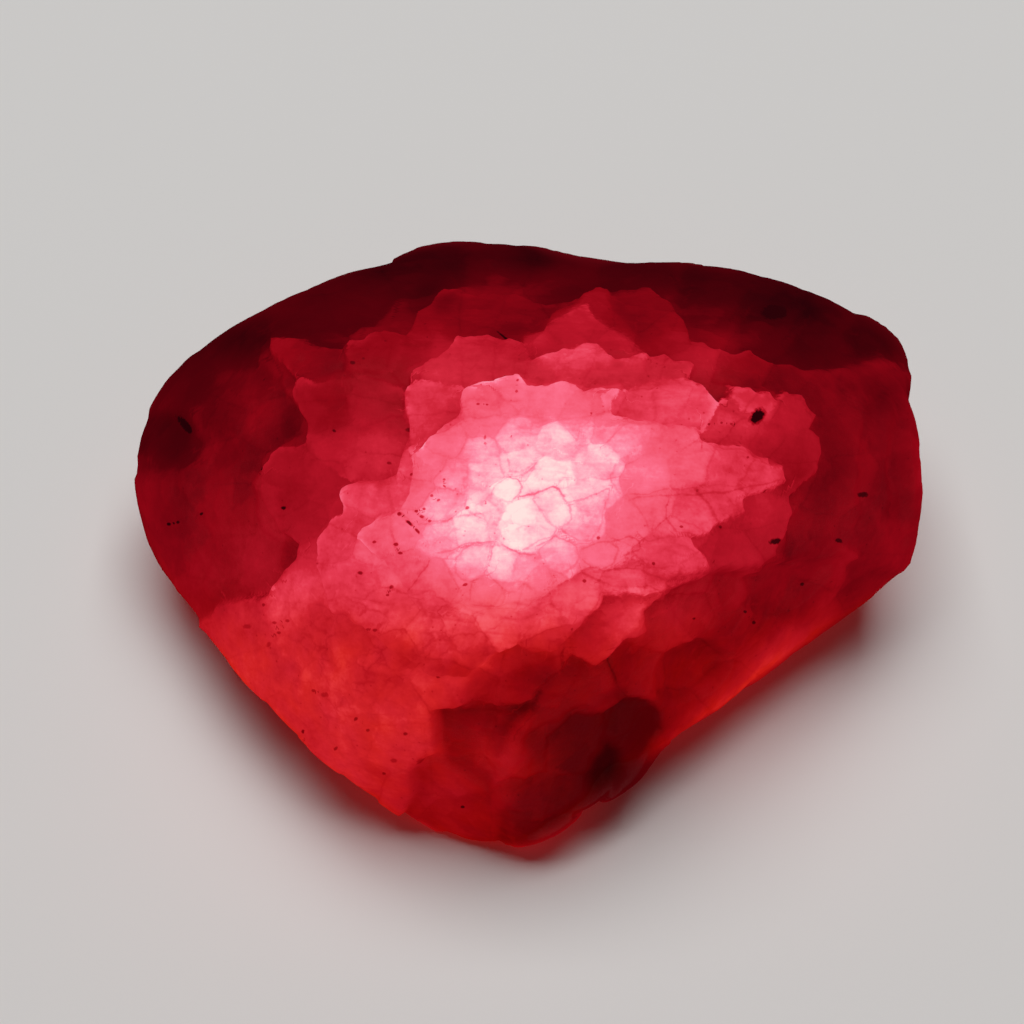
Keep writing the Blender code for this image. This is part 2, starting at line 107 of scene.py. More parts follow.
def blank_radius(d):
    """Distance from the heart along unit directions d: the nearest of the girdle, the floor cut and
    the flat faces, as one over the SHARPNESS-norm of their inverse distances."""
    theta = np.arctan2(d[:, 1], d[:, 0])
    total = (np.hypot(d[:, 0], d[:, 1]) / girdle_radius(theta)) ** SHARPNESS
    total += (np.maximum(-d[:, 2], 0) / (HEART_HEIGHT + FLOOR_CUT)) ** SHARPNESS
    for azimuth, elevation, distance in FACES.values():
        total += (np.maximum(d @ unit(azimuth, elevation), 0) / distance) ** SHARPNESS
    return total ** (-1 / SHARPNESS)


# ---------------------------------------------------------------------------------------------
# The broken front of the stone: growth layers that flaked off in steps, shell-shaped hollows where
# chips were knocked out, and low worn scales. It is laid out on a drawing plane, u to the right
# and v up, seen from in front and above.

SIGHT_HEIGHT = 50.0     # degrees above the floor
SIGHT_DISTANCE = 129.3  # mm from the heart
LIFT_ROUNDS = 3         # times the shift of the relief, by its own height, is worked out
LIFT_WIDTH = 2.0        # and how softly its steps are taken then
SEEN_FROM = -0.1        # cosine to the line of sight at which the front relief begins
SEEN_FULLY = 0.4        # and at which it has its full height
EDGE_BENDS = (0.9, 0.05)        # size of the small bends in every edge, and how far they go
FINE_BENDS = (0.35, 0.018)

# Ledges: broken edges of stacked growth layers. Rise, then the edge, clockwise from the left.
LEDGE_WIDTH = 0.26      # plan width of the broken edge
LEDGES = {
    "outer_ledge": (0.45, [
        (-15.2, -3.9), (-13.9, -2.8), (-12.6, -2.5), (-12.0, -2.3), (-11.3, -1.3), (-10.8, -0.6),
        (-10.4, -0.1), (-11.2, 0.5), (-11.9, 1.3), (-12.1, 2.5), (-12.1, 3.3), (-11.7, 4.0), (-11.2, 4.3),
        (-10.5, 4.3), (-10.0, 4.6), (-10.1, 5.3), (-10.5, 6.1), (-10.7, 6.9), (-10.6, 7.4), (-11.1, 8.1),
        (-11.7, 8.6), (-11.7, 9.1), (-10.9, 9.2), (-10.0, 9.0), (-9.2, 8.8), (-8.5, 8.8), (-8.0, 9.1),
        (-7.3, 9.15), (-7.0, 9.3), (-6.6, 9.5), (-6.0, 9.5), (-5.7, 9.2), (-5.4, 9.5), (-5.1, 10.1),
        (-4.9, 10.4), (-4.5, 10.8), (-4.3, 11.1), (-3.9, 11.35), (-3.5, 11.35), (-3.0, 11.2), (-2.4, 11.15),
        (-1.9, 11.3), (-0.7, 11.25), (0.3, 10.9), (1.3, 11.0), (2.4, 11.2), (3.6, 11.4), (5.0, 11.5),
        (5.4, 11.4), (5.9, 11.1), (6.4, 10.85), (6.6, 10.4), (6.9, 10.0), (7.1, 9.6), (7.3, 9.2),
        (7.9, 9.0), (8.4, 8.7), (9.4, 8.6), (10.0, 8.8), (10.6, 8.3), (12.0, 8.1), (12.7, 7.9), (14.0, 8.0),
        (15.0, 8.0), (16.0, 8.7), (17.0, 7.9), (17.8, 7.2), (19.5, 3.0), (18.8, -2.0), (14.4, -0.8),
        (12.9, -0.7), (11.0, -1.0), (10.4, -1.3), (9.2, -1.3), (7.9, -1.4), (6.9, -1.9), (6.0, -2.3),
        (5.1, -3.1), (5.2, -3.9), (4.2, -4.4), (3.6, -5.2), (2.8, -5.5), (1.8, -5.0), (1.4, -5.5),
        (0.6, -6.3), (0.0, -6.9), (-1.4, -7.3), (-3.1, -7.1), (-3.6, -7.4), (-4.4, -7.6), (-4.2, -8.6),
        (-4.4, -9.5), (-5.3, -10.2), (-5.3, -11.2), (-5.7, -12.1), (-7.5, -13.0), (-13.0, -9.5)]),
    "middle_ledge": (0.4, [
        (-9.0, -3.1), (-9.3, -2.0), (-9.6, -1.1), (-9.7, 0.2), (-9.1, 1.1), (-8.6, 1.4), (-8.6, 2.4),
        (-8.1, 2.8), (-7.0, 2.9), (-6.1, 3.3), (-5.8, 4.4), (-5.6, 5.4), (-5.8, 6.4), (-5.7, 6.9),
        (-5.5, 7.2), (-5.5, 7.7), (-5.2, 7.9), (-4.7, 8.2), (-4.4, 8.4), (-4.0, 8.5), (-3.7, 8.7),
        (-3.5, 9.0), (-3.4, 9.3), (-2.5, 9.4), (-1.9, 9.4), (-1.0, 9.3), (-0.5, 9.2), (-0.2, 8.8),
        (0.0, 8.3), (0.3, 8.4), (0.7, 8.65), (1.2, 8.75), (1.9, 8.8), (2.4, 9.0), (2.9, 8.95), (3.4, 8.7),
        (3.8, 8.4), (4.9, 8.6), (5.5, 8.5), (6.0, 8.55), (6.4, 8.35), (7.2, 8.2), (7.4, 8.05), (7.2, 7.8),
        (7.0, 7.4), (7.7, 7.1), (8.0, 6.8), (8.4, 6.3), (8.9, 6.6), (9.1, 7.1), (9.7, 7.0), (10.0, 6.75),
        (10.4, 6.9), (10.7, 6.8), (10.9, 6.4), (11.2, 6.6), (11.6, 7.0), (12.1, 6.6), (12.5, 6.1),
        (12.9, 5.8), (12.7, 5.2), (13.0, 4.8), (13.2, 4.0), (13.0, 3.4), (12.6, 3.0), (11.8, 2.1),
        (11.9, 1.3), (11.0, -0.6), (9.8, -1.1), (8.1, -1.2), (6.9, -1.7), (5.1, -2.3), (3.4, -2.3),
        (3.0, -3.0), (2.1, -3.8), (1.7, -4.2), (1.3, -4.8), (0.1, -5.0), (-0.6, -4.5), (-1.7, -5.0),
        (-2.9, -6.1), (-4.4, -6.0), (-6.0, -5.0), (-7.4, -3.8)]),
}

# Dishes: curved flakes broken out of the front. Middle, half length, half width, turn, depth.
DISHES = {
    "tip_hollow": (2.6, -10.4, 4.6, 3.6, 62, 0.6),
    "tip_pit": (3.35, -10.4, 1.6, 0.9, 72, 0.25),
    "scallop": (-1.3, -6.0, 2.1, 1.15, 36, 0.6),
    "scallop_foot": (-1.9, -7.9, 1.5, 0.6, -8, 0.4),
    "flank_hollow": (7.4, -5.6, 2.1, 1.4, 38, 0.55),
    "flank_hollow_left": (4.9, -5.5, 1.5, 1.1, 75, 0.35),
    "flank_hollow_right": (12.0, -1.9, 1.8, 0.9, 40, 0.4),
    "left_facet": (-15.2, 4.6, 2.4, 1.2, -12, 0.35),
    "end_furrow": (16.8, 2.6, 4.6, 0.45, 93, 0.45),
    "end_furrow_inner": (15.5, 4.4, 3.4, 0.5, 84, 0.3),
    "back_hollow": (-1.5, 12.0, 2.6, 0.7, 4, 0.35),
    "back_right_hollow": (10.6, 10.5, 2.2, 0.8, -14, 0.4),
}

# Plates: smaller broken layers. Rise, how much more light they let through, outline.
PLATES = {
    "left_brow": (0.08, 0.03, [
        (-10.7, 6.5), (-10.6, 7.0), (-10.3, 7.4), (-9.5, 7.3), (-8.9, 7.5), (-7.5, 7.6), (-6.5, 7.3),
        (-5.8, 7.2), (-5.7, 5.1), (-6.0, 5.2), (-6.6, 5.5), (-7.6, 5.2), (-8.6, 4.9), (-9.5, 4.7),
        (-10.0, 4.8), (-10.1, 5.6)]),
    "left_cheek": (0.06, 0.03, [
        (-9.9, 4.6), (-9.5, 4.7), (-8.6, 4.9), (-7.6, 5.2), (-6.6, 5.5), (-6.0, 5.2), (-5.7, 4.6),
        (-6.0, 3.4), (-7.0, 3.1), (-8.3, 2.9), (-8.8, 3.2), (-9.4, 3.5), (-9.8, 4.0)]),
    "left_flake": (0.08, 0.01, [
        (-8.3, 8.5), (-8.1, 9.0), (-7.3, 9.15), (-7.0, 9.3), (-6.6, 9.5), (-6.0, 9.5), (-5.7, 9.2),
        (-5.8, 8.5), (-6.4, 7.8), (-7.4, 7.7), (-8.2, 7.9)]),
    "brow_block": (0.06, 0.03, [
        (-5.6, 5.6), (-5.6, 6.9), (-5.4, 7.2), (-5.1, 7.4), (-4.7, 7.35), (-4.0, 7.25), (-3.1, 7.2),
        (-2.0, 6.8), (-2.5, 4.0), (-4.6, 3.6), (-5.6, 4.2)]),
    "peak": (0.12, 0.12, [
        (-0.5, 9.2), (-0.3, 9.6), (0.1, 9.75), (0.8, 9.75), (1.1, 10.0), (1.4, 10.15), (1.8, 10.55),
        (2.1, 10.7), (2.5, 10.65), (2.7, 10.4), (3.0, 10.1), (3.6, 9.7), (4.0, 9.45), (4.7, 9.05),
        (5.3, 8.6), (5.0, 8.0), (2.0, 8.0), (0.2, 8.2)]),
    "right_brow": (0.08, 0.05, [
        (5.6, 7.4), (6.0, 7.55), (6.4, 7.4), (7.0, 7.25), (7.7, 7.1), (8.0, 6.8), (8.2, 6.5), (8.4, 6.2),
        (8.0, 5.4), (7.4, 4.6), (3.4, 4.6), (3.2, 6.6), (4.2, 7.0)]),
    "right_flake": (0.08, 0.03, [
        (9.0, 7.3), (9.3, 6.9), (9.7, 7.0), (9.9, 6.75), (10.2, 6.7), (10.4, 6.9), (10.7, 6.8), (10.8, 6.5),
        (11.0, 6.3), (10.6, 5.9), (9.6, 6.0), (8.9, 6.4)]),
    "scallop": (-0.2, -0.07, [
        (-3.05, -6.8), (-2.95, -6.35), (-2.4, -5.85), (-2.0, -5.4), (-1.5, -5.0), (-1.1, -4.75),
        (-0.5, -4.65), (0.1, -4.6), (0.6, -4.8), (1.2, -5.2), (1.1, -5.8), (0.6, -6.4), (-0.2, -6.9),
        (-1.4, -7.25), (-2.9, -7.15)]),
    "scallop_foot": (-0.12, -0.11, [
        (-3.5, -7.4), (-2.4, -7.4), (-1.3, -7.35), (0.0, -7.0), (0.5, -6.7), (0.2, -7.4), (-0.5, -7.9),
        (-0.9, -8.3), (-1.2, -8.9), (-1.5, -9.6), (-1.9, -9.2), (-2.3, -8.4), (-2.9, -7.9)]),
    "left_lobe": (-0.1, -0.07, [
        (-4.3, -7.6), (-3.4, -7.5), (-2.8, -8.0), (-2.2, -8.6), (-1.9, -9.4), (-1.4, -10.1), (-1.9, -11.2),
        (-3.0, -10.4), (-3.9, -9.9), (-4.3, -8.7)]),
    "tip_face": (-0.12, -0.06, [
        (-0.4, -8.9), (-0.2, -8.5), (0.5, -8.2), (1.3, -7.9), (1.6, -7.6), (1.9, -7.4), (2.4, -7.3),
        (3.0, -7.5), (3.5, -7.6), (3.9, -7.3), (4.3, -7.0), (5.2, -7.0), (5.8, -7.7), (6.0, -8.5),
        (5.6, -9.2), (5.0, -10.2), (4.2, -11.6), (3.0, -13.4), (0.3, -14.6), (-1.0, -14.6), (-1.5, -13.6),
        (-1.6, -12.4), (-0.8, -11.5), (-0.1, -10.5), (0.0, -9.6)]),
    "tip_hollow_floor": (-0.05, -0.03, [
        (3.9, -7.3), (4.3, -7.0), (5.2, -7.0), (5.8, -7.7), (5.9, -8.5), (5.2, -9.3), (4.4, -10.1),
        (4.2, -11.0), (3.8, -11.8), (3.1, -12.0), (2.4, -11.2), (2.6, -10.2), (3.0, -9.3), (3.5, -8.4)]),
    "tip_pit_floor": (-0.05, -0.12, [
        (3.4, -9.1), (4.0, -9.5), (4.1, -10.2), (3.9, -11.0), (3.3, -11.7), (2.6, -11.2), (2.5, -10.7),
        (3.0, -9.8)]),
    "dark_facet": (-0.1, -0.08, [
        (-17.8, 5.6), (-16.9, 5.7), (-16.0, 5.6), (-15.4, 5.0), (-15.6, 4.3), (-16.0, 3.8), (-17.0, 3.9),
        (-18.4, 4.2)]),
    "shield_foot": (0.1, 0.03, [
        (-18.6, 3.0), (-16.9, 2.9), (-15.8, 2.9), (-14.9, 2.8), (-13.9, 2.9), (-13.2, 3.2), (-12.3, 3.3),
        (-11.5, 2.5), (-11.2, 0.5), (-11.5, -2.0), (-13.9, -2.8), (-16.0, -4.5), (-19.0, 0.0)]),
    "flank_lobe": (-0.1, -0.04, [
        (6.0, -5.2), (6.4, -4.8), (7.2, -4.4), (8.3, -4.3), (8.9, -4.9), (8.6, -5.9), (7.6, -6.4),
        (6.8, -7.2), (5.9, -7.0), (5.6, -6.0)]),
    "nose": (0.1, 0.04, [
        (0.4, -7.0), (0.0, -7.8), (-0.4, -8.6), (-0.4, -9.6), (-0.9, -10.2), (-1.2, -9.6), (-1.1, -8.6),
        (-0.6, -7.8), (-0.2, -7.2)]),
    "belt_lobe": (0.1, 0.05, [
        (3.3, -2.2), (4.6, -1.9), (6.0, -1.9), (6.6, -2.1), (5.6, -2.7), (5.1, -3.2), (4.6, -4.2),
        (3.9, -4.6), (3.4, -3.9), (3.2, -3.0)]),
}

# The topmost ledge, over the torch, and the plates on it.
HEART_LAYERS = {
    "heart_ledge": (0.35, 0.0, [
        (-7.8, 0.2), (-7.6, 0.8), (-6.9, 1.1), (-6.0, 1.5), (-5.7, 2.2), (-5.4, 3.2), (-5.3, 3.9),
        (-4.7, 4.5), (-4.2, 5.2), (-3.7, 5.6), (-3.3, 6.0), (-3.1, 6.9), (-2.9, 7.1), (-2.5, 7.25),
        (-1.7, 7.3), (-1.35, 7.45), (-1.1, 7.6), (-0.8, 7.65), (-0.5, 7.55), (-0.3, 7.35), (-0.1, 7.1),
        (0.7, 7.1), (1.3, 7.3), (1.9, 7.15), (2.4, 6.9), (3.1, 7.05), (3.5, 6.95), (4.0, 6.8), (3.7, 6.4),
        (3.6, 6.0), (4.8, 5.7), (6.2, 5.4), (7.5, 5.3), (7.7, 4.7), (8.8, 4.5), (9.9, 4.3), (10.4, 4.0),
        (10.7, 3.9), (10.7, 3.6), (11.4, 3.5), (11.6, 2.9), (10.8, 2.5), (10.4, 2.4), (9.8, 2.1),
        (9.6, 1.9), (9.7, 1.5), (9.2, 1.2), (8.4, 0.8), (8.2, 0.6), (7.6, 0.4), (7.2, 0.3), (7.4, -0.1),
        (7.8, -0.6), (7.8, -1.0), (7.2, -1.3), (5.8, -1.3), (4.6, -0.6), (3.7, -1.1), (2.4, -1.1),
        (1.2, -1.7), (0.8, -2.3), (-0.1, -2.5), (-1.0, -2.6), (-2.0, -3.0), (-3.3, -2.6), (-4.0, -3.2),
        (-5.0, -3.0), (-5.6, -2.2), (-6.3, -1.3), (-7.0, -0.5)]),
    "right_cheek": (0.05, 0.035, [
        (2.3, 5.3), (3.7, 5.4), (4.8, 5.35), (5.1, 5.1), (5.0, 4.7), (5.1, 4.1), (4.4, 4.0), (3.7, 3.7),
        (2.6, 4.3)]),
    "front_lobe": (0.12, 0.025, [
        (0.8, -2.3), (1.2, -1.7), (1.8, -1.3), (2.4, -1.15), (3.2, -1.3), (3.3, -2.2), (3.2, -2.6),
        (2.9, -3.0), (2.3, -3.6), (1.7, -4.1), (0.9, -3.5), (0.6, -2.9)]),
}
LAYERS = {**LEDGES, **PLATES, **HEART_LAYERS}

# Scales: low domed flakes that cover the front. Middle of each, and its height in steps.
SCALE_STEP = 0.08
SCALE_DOME = 0.035      # how far a scale falls away, per square millimetre from its middle
SCALE_SHARPNESS = 14.0  # how crisply one scale meets the next
SCALE_TURN = 18.0       # degrees; scales are longer this way
SCALE_STRETCH = 1.3
SCALE_REACH = 6.0       # square millimetres from its middle, past which it falls no further
SCALES = {
    "heart": [
        (-0.45, 1.35, 3), (-0.2, 0.3, 3), (1.05, 1.5, 2), (2.4, 0.75, 2), (2.75, 2.2, 2), (0.6, 3.0, 3),
        (-1.1, 2.35, 3), (-0.55, 3.55, 1), (-2.15, 3.1, 1), (-1.95, 1.75, 1), (-2.7, 0.75, 2),
        (-4.2, 0.3, 2), (-2.75, -0.85, 2), (-1.2, -0.95, 3), (-0.3, -1.0, 1), (0.4, -1.5, 1),
        (1.25, -0.55, 2), (-2.0, -2.15, 1), (-0.9, -2.3, 2), (-0.2, -2.35, 1), (3.05, -0.45, 1),
        (4.4, 1.0, 0), (5.4, 3.2, 0), (4.4, 4.7, 1), (3.0, 3.8, 2), (1.3, 4.7, 2), (-0.7, 4.9, 1),
        (-2.5, 4.4, 1), (-3.6, 3.1, 2), (-4.1, 1.9, 1)],
    "plateau": [
        (-2.2, 6.3, 1), (-0.8, 6.7, 2), (0.8, 6.4, 1), (2.2, 6.3, 1), (3.3, 6.5, 2), (-2.2, 5.3, 0),
        (2.2, 5.2, 1), (3.4, 5.3, 0), (-3.6, 4.6, 1), (-4.7, 3.4, 1), (-5.2, 2.4, 0), (5.6, 1.6, 0),
        (-5.6, 0.6, 1), (-6.9, 0.3, 2), (-5.6, -1.2, 0), (6.2, 4.7, 1), (7.2, 3.6, 1), (8.9, 3.4, 1),
        (10.4, 3.0, 2), (8.6, 2.0, 1), (6.7, 0.6, 0), (7.4, 1.4, 0), (5.9, -0.4, 0), (-4.6, -1.6, 1)],
    "behind the brow": [
        (-4.4, 6.4, 1), (-4.4, 5.5, 0), (4.9, 6.2, 0), (6.3, 6.4, 2), (7.6, 6.2, 1), (8.7, 5.4, 0),
        (5.0, 7.8, 0), (6.9, 7.8, 1), (3.5, 8.0, 0), (2.0, 8.3, 1), (0.6, 8.3, 0), (-0.9, 8.4, -1),
        (-2.4, 8.3, 0), (-3.9, 8.1, 1), (9.3, 6.6, 1), (10.4, 6.3, 2), (9.9, 7.7, 0), (11.8, 7.5, -1),
        (9.6, 5.0, 0), (10.8, 4.8, -1), (11.8, 5.8, 1), (12.1, 4.3, 0), (12.0, 3.0, 0), (10.6, 1.5, 0)],
    "back": [
        (2.3, 9.9, 2), (3.5, 9.4, 1), (5.2, 10.5, 0), (6.0, 9.5, 0), (-0.7, 10.2, -1), (-2.3, 10.4, 0),
        (-4.1, 10.4, 1), (-5.7, 9.6, 1), (-7.3, 8.5, 2), (-5.6, 8.2, 0), (-8.0, 10.9, -1), (-10.3, 10.0, 0),
        (-13.4, 8.9, 0), (-4.6, 12.4, -1), (-1.5, 12.6, 0), (1.3, 11.7, -1), (5.4, 12.2, 0),
        (8.6, 11.6, -1), (8.2, 10.0, 0), (10.9, 10.6, -1), (10.7, 9.4, 0), (13.6, 10.2, 0), (15.7, 9.5, -1),
        (13.4, 8.8, -1)],
    "left": [
        (-6.9, 7.1, 1), (-9.2, 7.0, 1), (-9.6, 8.3, 0), (-10.9, 8.7, 2), (-9.3, 5.9, 0), (-7.5, 6.0, 1),
        (-7.0, 4.8, 0), (-8.8, 4.6, 1), (-7.4, 3.4, 0), (-11.1, 3.4, 2), (-11.2, 2.1, 1), (-9.6, 2.8, 0),
        (-7.6, 2.0, 2), (-10.5, 0.9, 0), (-9.0, 0.3, 1), (-8.3, 1.1, 0), (-15.9, 7.2, 1), (-13.2, 7.1, 0),
        (-12.2, 5.3, -1), (-14.2, 5.6, 0), (-16.4, 4.6, -1), (-13.6, 3.7, 0), (-16.4, 2.2, 1),
        (-13.8, 1.6, 0), (-16.4, -0.2, 1), (-14.3, -0.9, 0), (-12.2, -0.9, -1), (-15.0, -2.5, 1)],
    "lower left": [
        (-8.3, -1.9, 2), (-10.5, -1.9, 1), (-11.0, -3.5, 1), (-13.0, -4.0, 0), (-12.3, -5.8, 1),
        (-10.1, -5.2, 0), (-8.2, -4.4, 0), (-6.7, -3.0, 1), (-6.2, -5.0, 0), (-4.5, -4.2, 1),
        (-4.3, -6.3, 0), (-8.0, -6.8, 1), (-10.4, -7.4, 0), (-6.0, -7.2, 0), (-8.2, -8.9, 0),
        (-9.4, -9.7, 1), (-6.2, -9.3, 1), (-5.8, -11.2, 2), (-7.6, -11.0, 0), (-2.9, -4.4, 0)],
    "front": [
        (-1.4, -3.6, 1), (0.2, -3.4, 0), (1.9, -2.4, 1), (4.4, -1.5, 1), (4.0, -2.9, 0), (2.9, -4.3, 0),
        (0.7, -4.6, -1), (-3.3, -8.8, 0), (-3.1, -10.6, 1), (-3.0, -12.3, 0), (-0.6, -9.3, 2),
        (-0.6, -12.0, 0), (0.5, -7.6, 2), (2.6, -6.5, 1), (1.2, -6.0, 0), (4.9, -5.9, 0), (2.0, -9.0, 0),
        (4.9, -8.4, -1), (2.2, -12.2, -1)],
    "flank": [
        (6.0, -3.7, 1), (7.3, -3.0, 0), (8.9, -2.3, 0), (10.8, -2.2, -1), (7.4, -5.6, -1), (9.3, -4.0, 1),
        (10.6, -4.5, 1), (8.6, -6.6, 1), (6.8, -7.8, 0), (12.6, -2.6, 0), (13.6, -1.3, 2), (15.2, -1.6, 0),
        (9.3, -0.5, 1), (10.8, 0.2, 0), (12.7, 0.2, -1), (13.9, 2.6, 0), (13.9, 5.2, 0), (14.9, 7.2, 1),
        (13.3, 6.9, 0), (16.6, 5.8, 1), (17.2, 2.2, 0), (15.7, 0.5, 0), (7.3, -1.6, 1), (5.8, -1.5, 0)],
}
SCALE_LIST = np.array([scale for group in SCALES.values() for scale in group])


def line_of_sight():
    return unit(270, SIGHT_HEIGHT)


def drawn(p):
    """Drawing-plane u and v of points measured from the heart: their sideways and upward parts,
    enlarged by how much nearer than the heart they are."""
    e = np.radians(SIGHT_HEIGHT)
    scale = SIGHT_DISTANCE / (SIGHT_DISTANCE - p @ line_of_sight())
    return p[:, 0] * scale, p @ np.array([0, np.sin(e), np.cos(e)]) * scale


def facing(d, step=0.004):
    """Cosine between the blank's outward normal and the line of sight. The normal is the gradient,
    by differences, of a point's distance divided by the blank's."""
    slope = np.empty_like(d)
    for k in range(3):
        ahead, behind = d.copy(), d.copy()
        ahead[:, k] += step
        behind[:, k] -= step
        far, near = np.linalg.norm(ahead, axis=1), np.linalg.norm(behind, axis=1)
        slope[:, k] = far / blank_radius(ahead / far[:, None]) - near / blank_radius(behind / near[:, None])
    return (slope / np.linalg.norm(slope, axis=1)[:, None]) @ line_of_sight()


def wander(u, v, size, amount):
    """Shift u and v a little by sums of sines, so that no edge runs straight."""
    a = np.sin(2.1 * u / size + 1.3 * np.sin(1.7 * v / size + 0.6))
    a = a + 0.6 * np.sin(4.3 * v / size + 3.1 * u / size + 1.1)
    b = np.sin(2.3 * v / size + 1.3 * np.sin(1.9 * u / size + 2.1))
    b = b + 0.6 * np.sin(4.7 * u / size - 2.9 * v / size + 0.4)
    return u + amount * a, v + amount * b


def depth_inside(u, v, outline):
    """Distance to a closed outline, positive inside it and negative outside."""
    corners = np.array(outline)
    nearest = np.full(u.shape, 1e9)
    inside = np.zeros(u.shape, bool)
    for (x0, y0), (x1, y1) in zip(corners, np.roll(corners, -1, 0)):
        dx, dy = x1 - x0, y1 - y0
        t = np.clip(((u - x0) * dx + (v - y0) * dy) / (dx * dx + dy * dy), 0, 1)
        nearest = np.minimum(nearest, np.hypot(u - x0 - t * dx, v - y0 - t * dy))
        crosses = (y0 > v) != (y1 > v)
        inside ^= crosses & (u < x0 + (v - y0) * dx / (dy if dy else 1e-9))
    return np.where(inside, nearest, -nearest)


def turned(u, v, x, y, turn):
    """u and v measured along and across a line through (x, y), turned by so many degrees."""
    c, s = np.cos(np.radians(turn)), np.sin(np.radians(turn))
    return (u - x) * c + (v - y) * s, (v - y) * c - (u - x) * s


def domes(gap, height, dome, sharp):
    """Height at squared distances gap from the middles of domes, each dome ruling its own cell:
    an average of the domes, weighted by the exponential of minus sharp times gap."""
    weight = np.exp(-sharp * (gap - gap.min(axis=1)[:, None]))
    return (weight * (height - dome * gap)).sum(axis=1) / weight.sum(axis=1)


def scale_gap(u, v):
    """Squared distance to the middle of each scale, with distances along SCALE_TURN shortened."""
    along, across = turned(u, v, 0, 0, SCALE_TURN)
    middle_along, middle_across = turned(SCALE_LIST[:, 0], SCALE_LIST[:, 1], 0, 0, SCALE_TURN)
    stretch = np.sqrt(SCALE_STRETCH)
    return (((along[:, None] - middle_along) / stretch) ** 2
            + ((across[:, None] - middle_across) * stretch) ** 2)


def layers_rise(u, v, depths, width):
    """Rise of the ledges and plates, each a smooth step of this width at its outline, less dishes."""
    rise = np.zeros(u.shape)
    for name, layer in LAYERS.items():
        rise += layer[0] * smooth(depths[name] / width + 0.5)
    for x, y, half_length, half_width, turn, depth in DISHES.values():
        along, across = turned(u, v, x, y, turn)
        rise -= depth * np.clip(1 - (along / half_length) ** 2 - (across / half_width) ** 2, 0, 1)
    return rise


def front_relief(u, v, depths):
    """Rise of the broken front over the blank: ledges, plates and dishes, and scales on them."""
    gap = np.minimum(scale_gap(u, v), SCALE_REACH)
    scales = domes(gap, SCALE_STEP * SCALE_LIST[:, 2], SCALE_DOME, SCALE_SHARPNESS)
    return layers_rise(u, v, depths, LEDGE_WIDTH) + scales


def outline_depths(u, v):
    """Distance inside each ledge and plate."""
    return {name: depth_inside(u, v, layer[-1]) for name, layer in LAYERS.items()}


def laid_out(d, radius, seen):
    """Drawing-plane u and v along directions d. The relief lifts the surface, which shifts it on the
    plane, so a relief with wide soft steps is laid on in a few rounds until the place settles."""
    lift = np.zeros(len(d))
    for _ in range(LIFT_ROUNDS):
        u, v = drawn(d * (radius + lift)[:, None])
        lift = seen * layers_rise(u, v, outline_depths(u, v), LIFT_WIDTH)
    return drawn(d * (radius + lift)[:, None])


# ---------------------------------------------------------------------------------------------
# The sides, back and underside: the same worn scales, larger and spread evenly, and over the
# whole stone a skin of small flakes about a millimetre across.

HIDDEN_SCALES = 190
HIDDEN_SCATTER = 0.07   # how far each is moved off the even pattern, as a share of the radius
HIDDEN_RISE = 0.35      # most that one is higher or lower than the blank
HIDDEN_LIFT = 0.1
HIDDEN_DOME = 12.0      # how far one falls away, per square of the distance as a share of the radius
HIDDEN_SHARPNESS = 900.0
HIDDEN_SEED = 11
FLAKE_SIZE = 1.1
FLAKE_RISE = 0.02
FLAKE_GROOVE = 0.012    # depth of the groove between two flakes
GROOVE_WIDTH = 0.1      # and half its width, as a share of a flake
FLAKE_SEED = 5


def hidden_gap(d):
    """Squared distances from directions d to the middles of the hidden scales, which follow a
    sunflower spiral over the sphere with a little seeded scatter, and the height of each scale."""
    k = np.arange(HIDDEN_SCALES)
    z = 1 - 2 * (k + 0.5) / HIDDEN_SCALES
    turn = k * np.pi * (3 - np.sqrt(5))
    ring = np.sqrt(1 - z * z)
    middles = np.stack([ring * np.cos(turn), ring * np.sin(turn), z], axis=1)
    shuffle = np.random.default_rng(HIDDEN_SEED)
    middles += shuffle.normal(0, HIDDEN_SCATTER, middles.shape)
    height = shuffle.uniform(-HIDDEN_RISE, HIDDEN_RISE, HIDDEN_SCALES)
    return ((d[:, None] - middles) ** 2).sum(axis=2), height


def scatter(cube, seed):
    """Repeatable random numbers from 0 to 1 for whole-number cube places: the part after the point
    of a large multiple of a sine."""
    wave = np.sin(cube @ np.array([12.9898, 78.233, 37.719]) + seed) * 43758.5453
    return wave - np.floor(wave)


def cells(p, size, seed):
    """Cell noise. Space is cut into cubes, each with one point placed at random in it; this gives
    how much further the next nearest point is than the nearest, and a random number of the
    nearest."""
    base = np.floor(p / size)
    best = np.full(len(p), 9.0)
    second = best.copy()
    mark = np.zeros(len(p))
    for offset in np.ndindex(3, 3, 3):
        cube = base + np.array(offset) - 1
        spot = cube + np.stack([scatter(cube, seed + k) for k in range(3)], axis=1)
        gap = np.linalg.norm(p / size - spot, axis=1)
        closer = gap < best
        second = np.where(closer, best, np.minimum(second, gap))
        mark = np.where(closer, scatter(cube, seed + 3), mark)
        best = np.minimum(best, gap)
    return second - best, mark
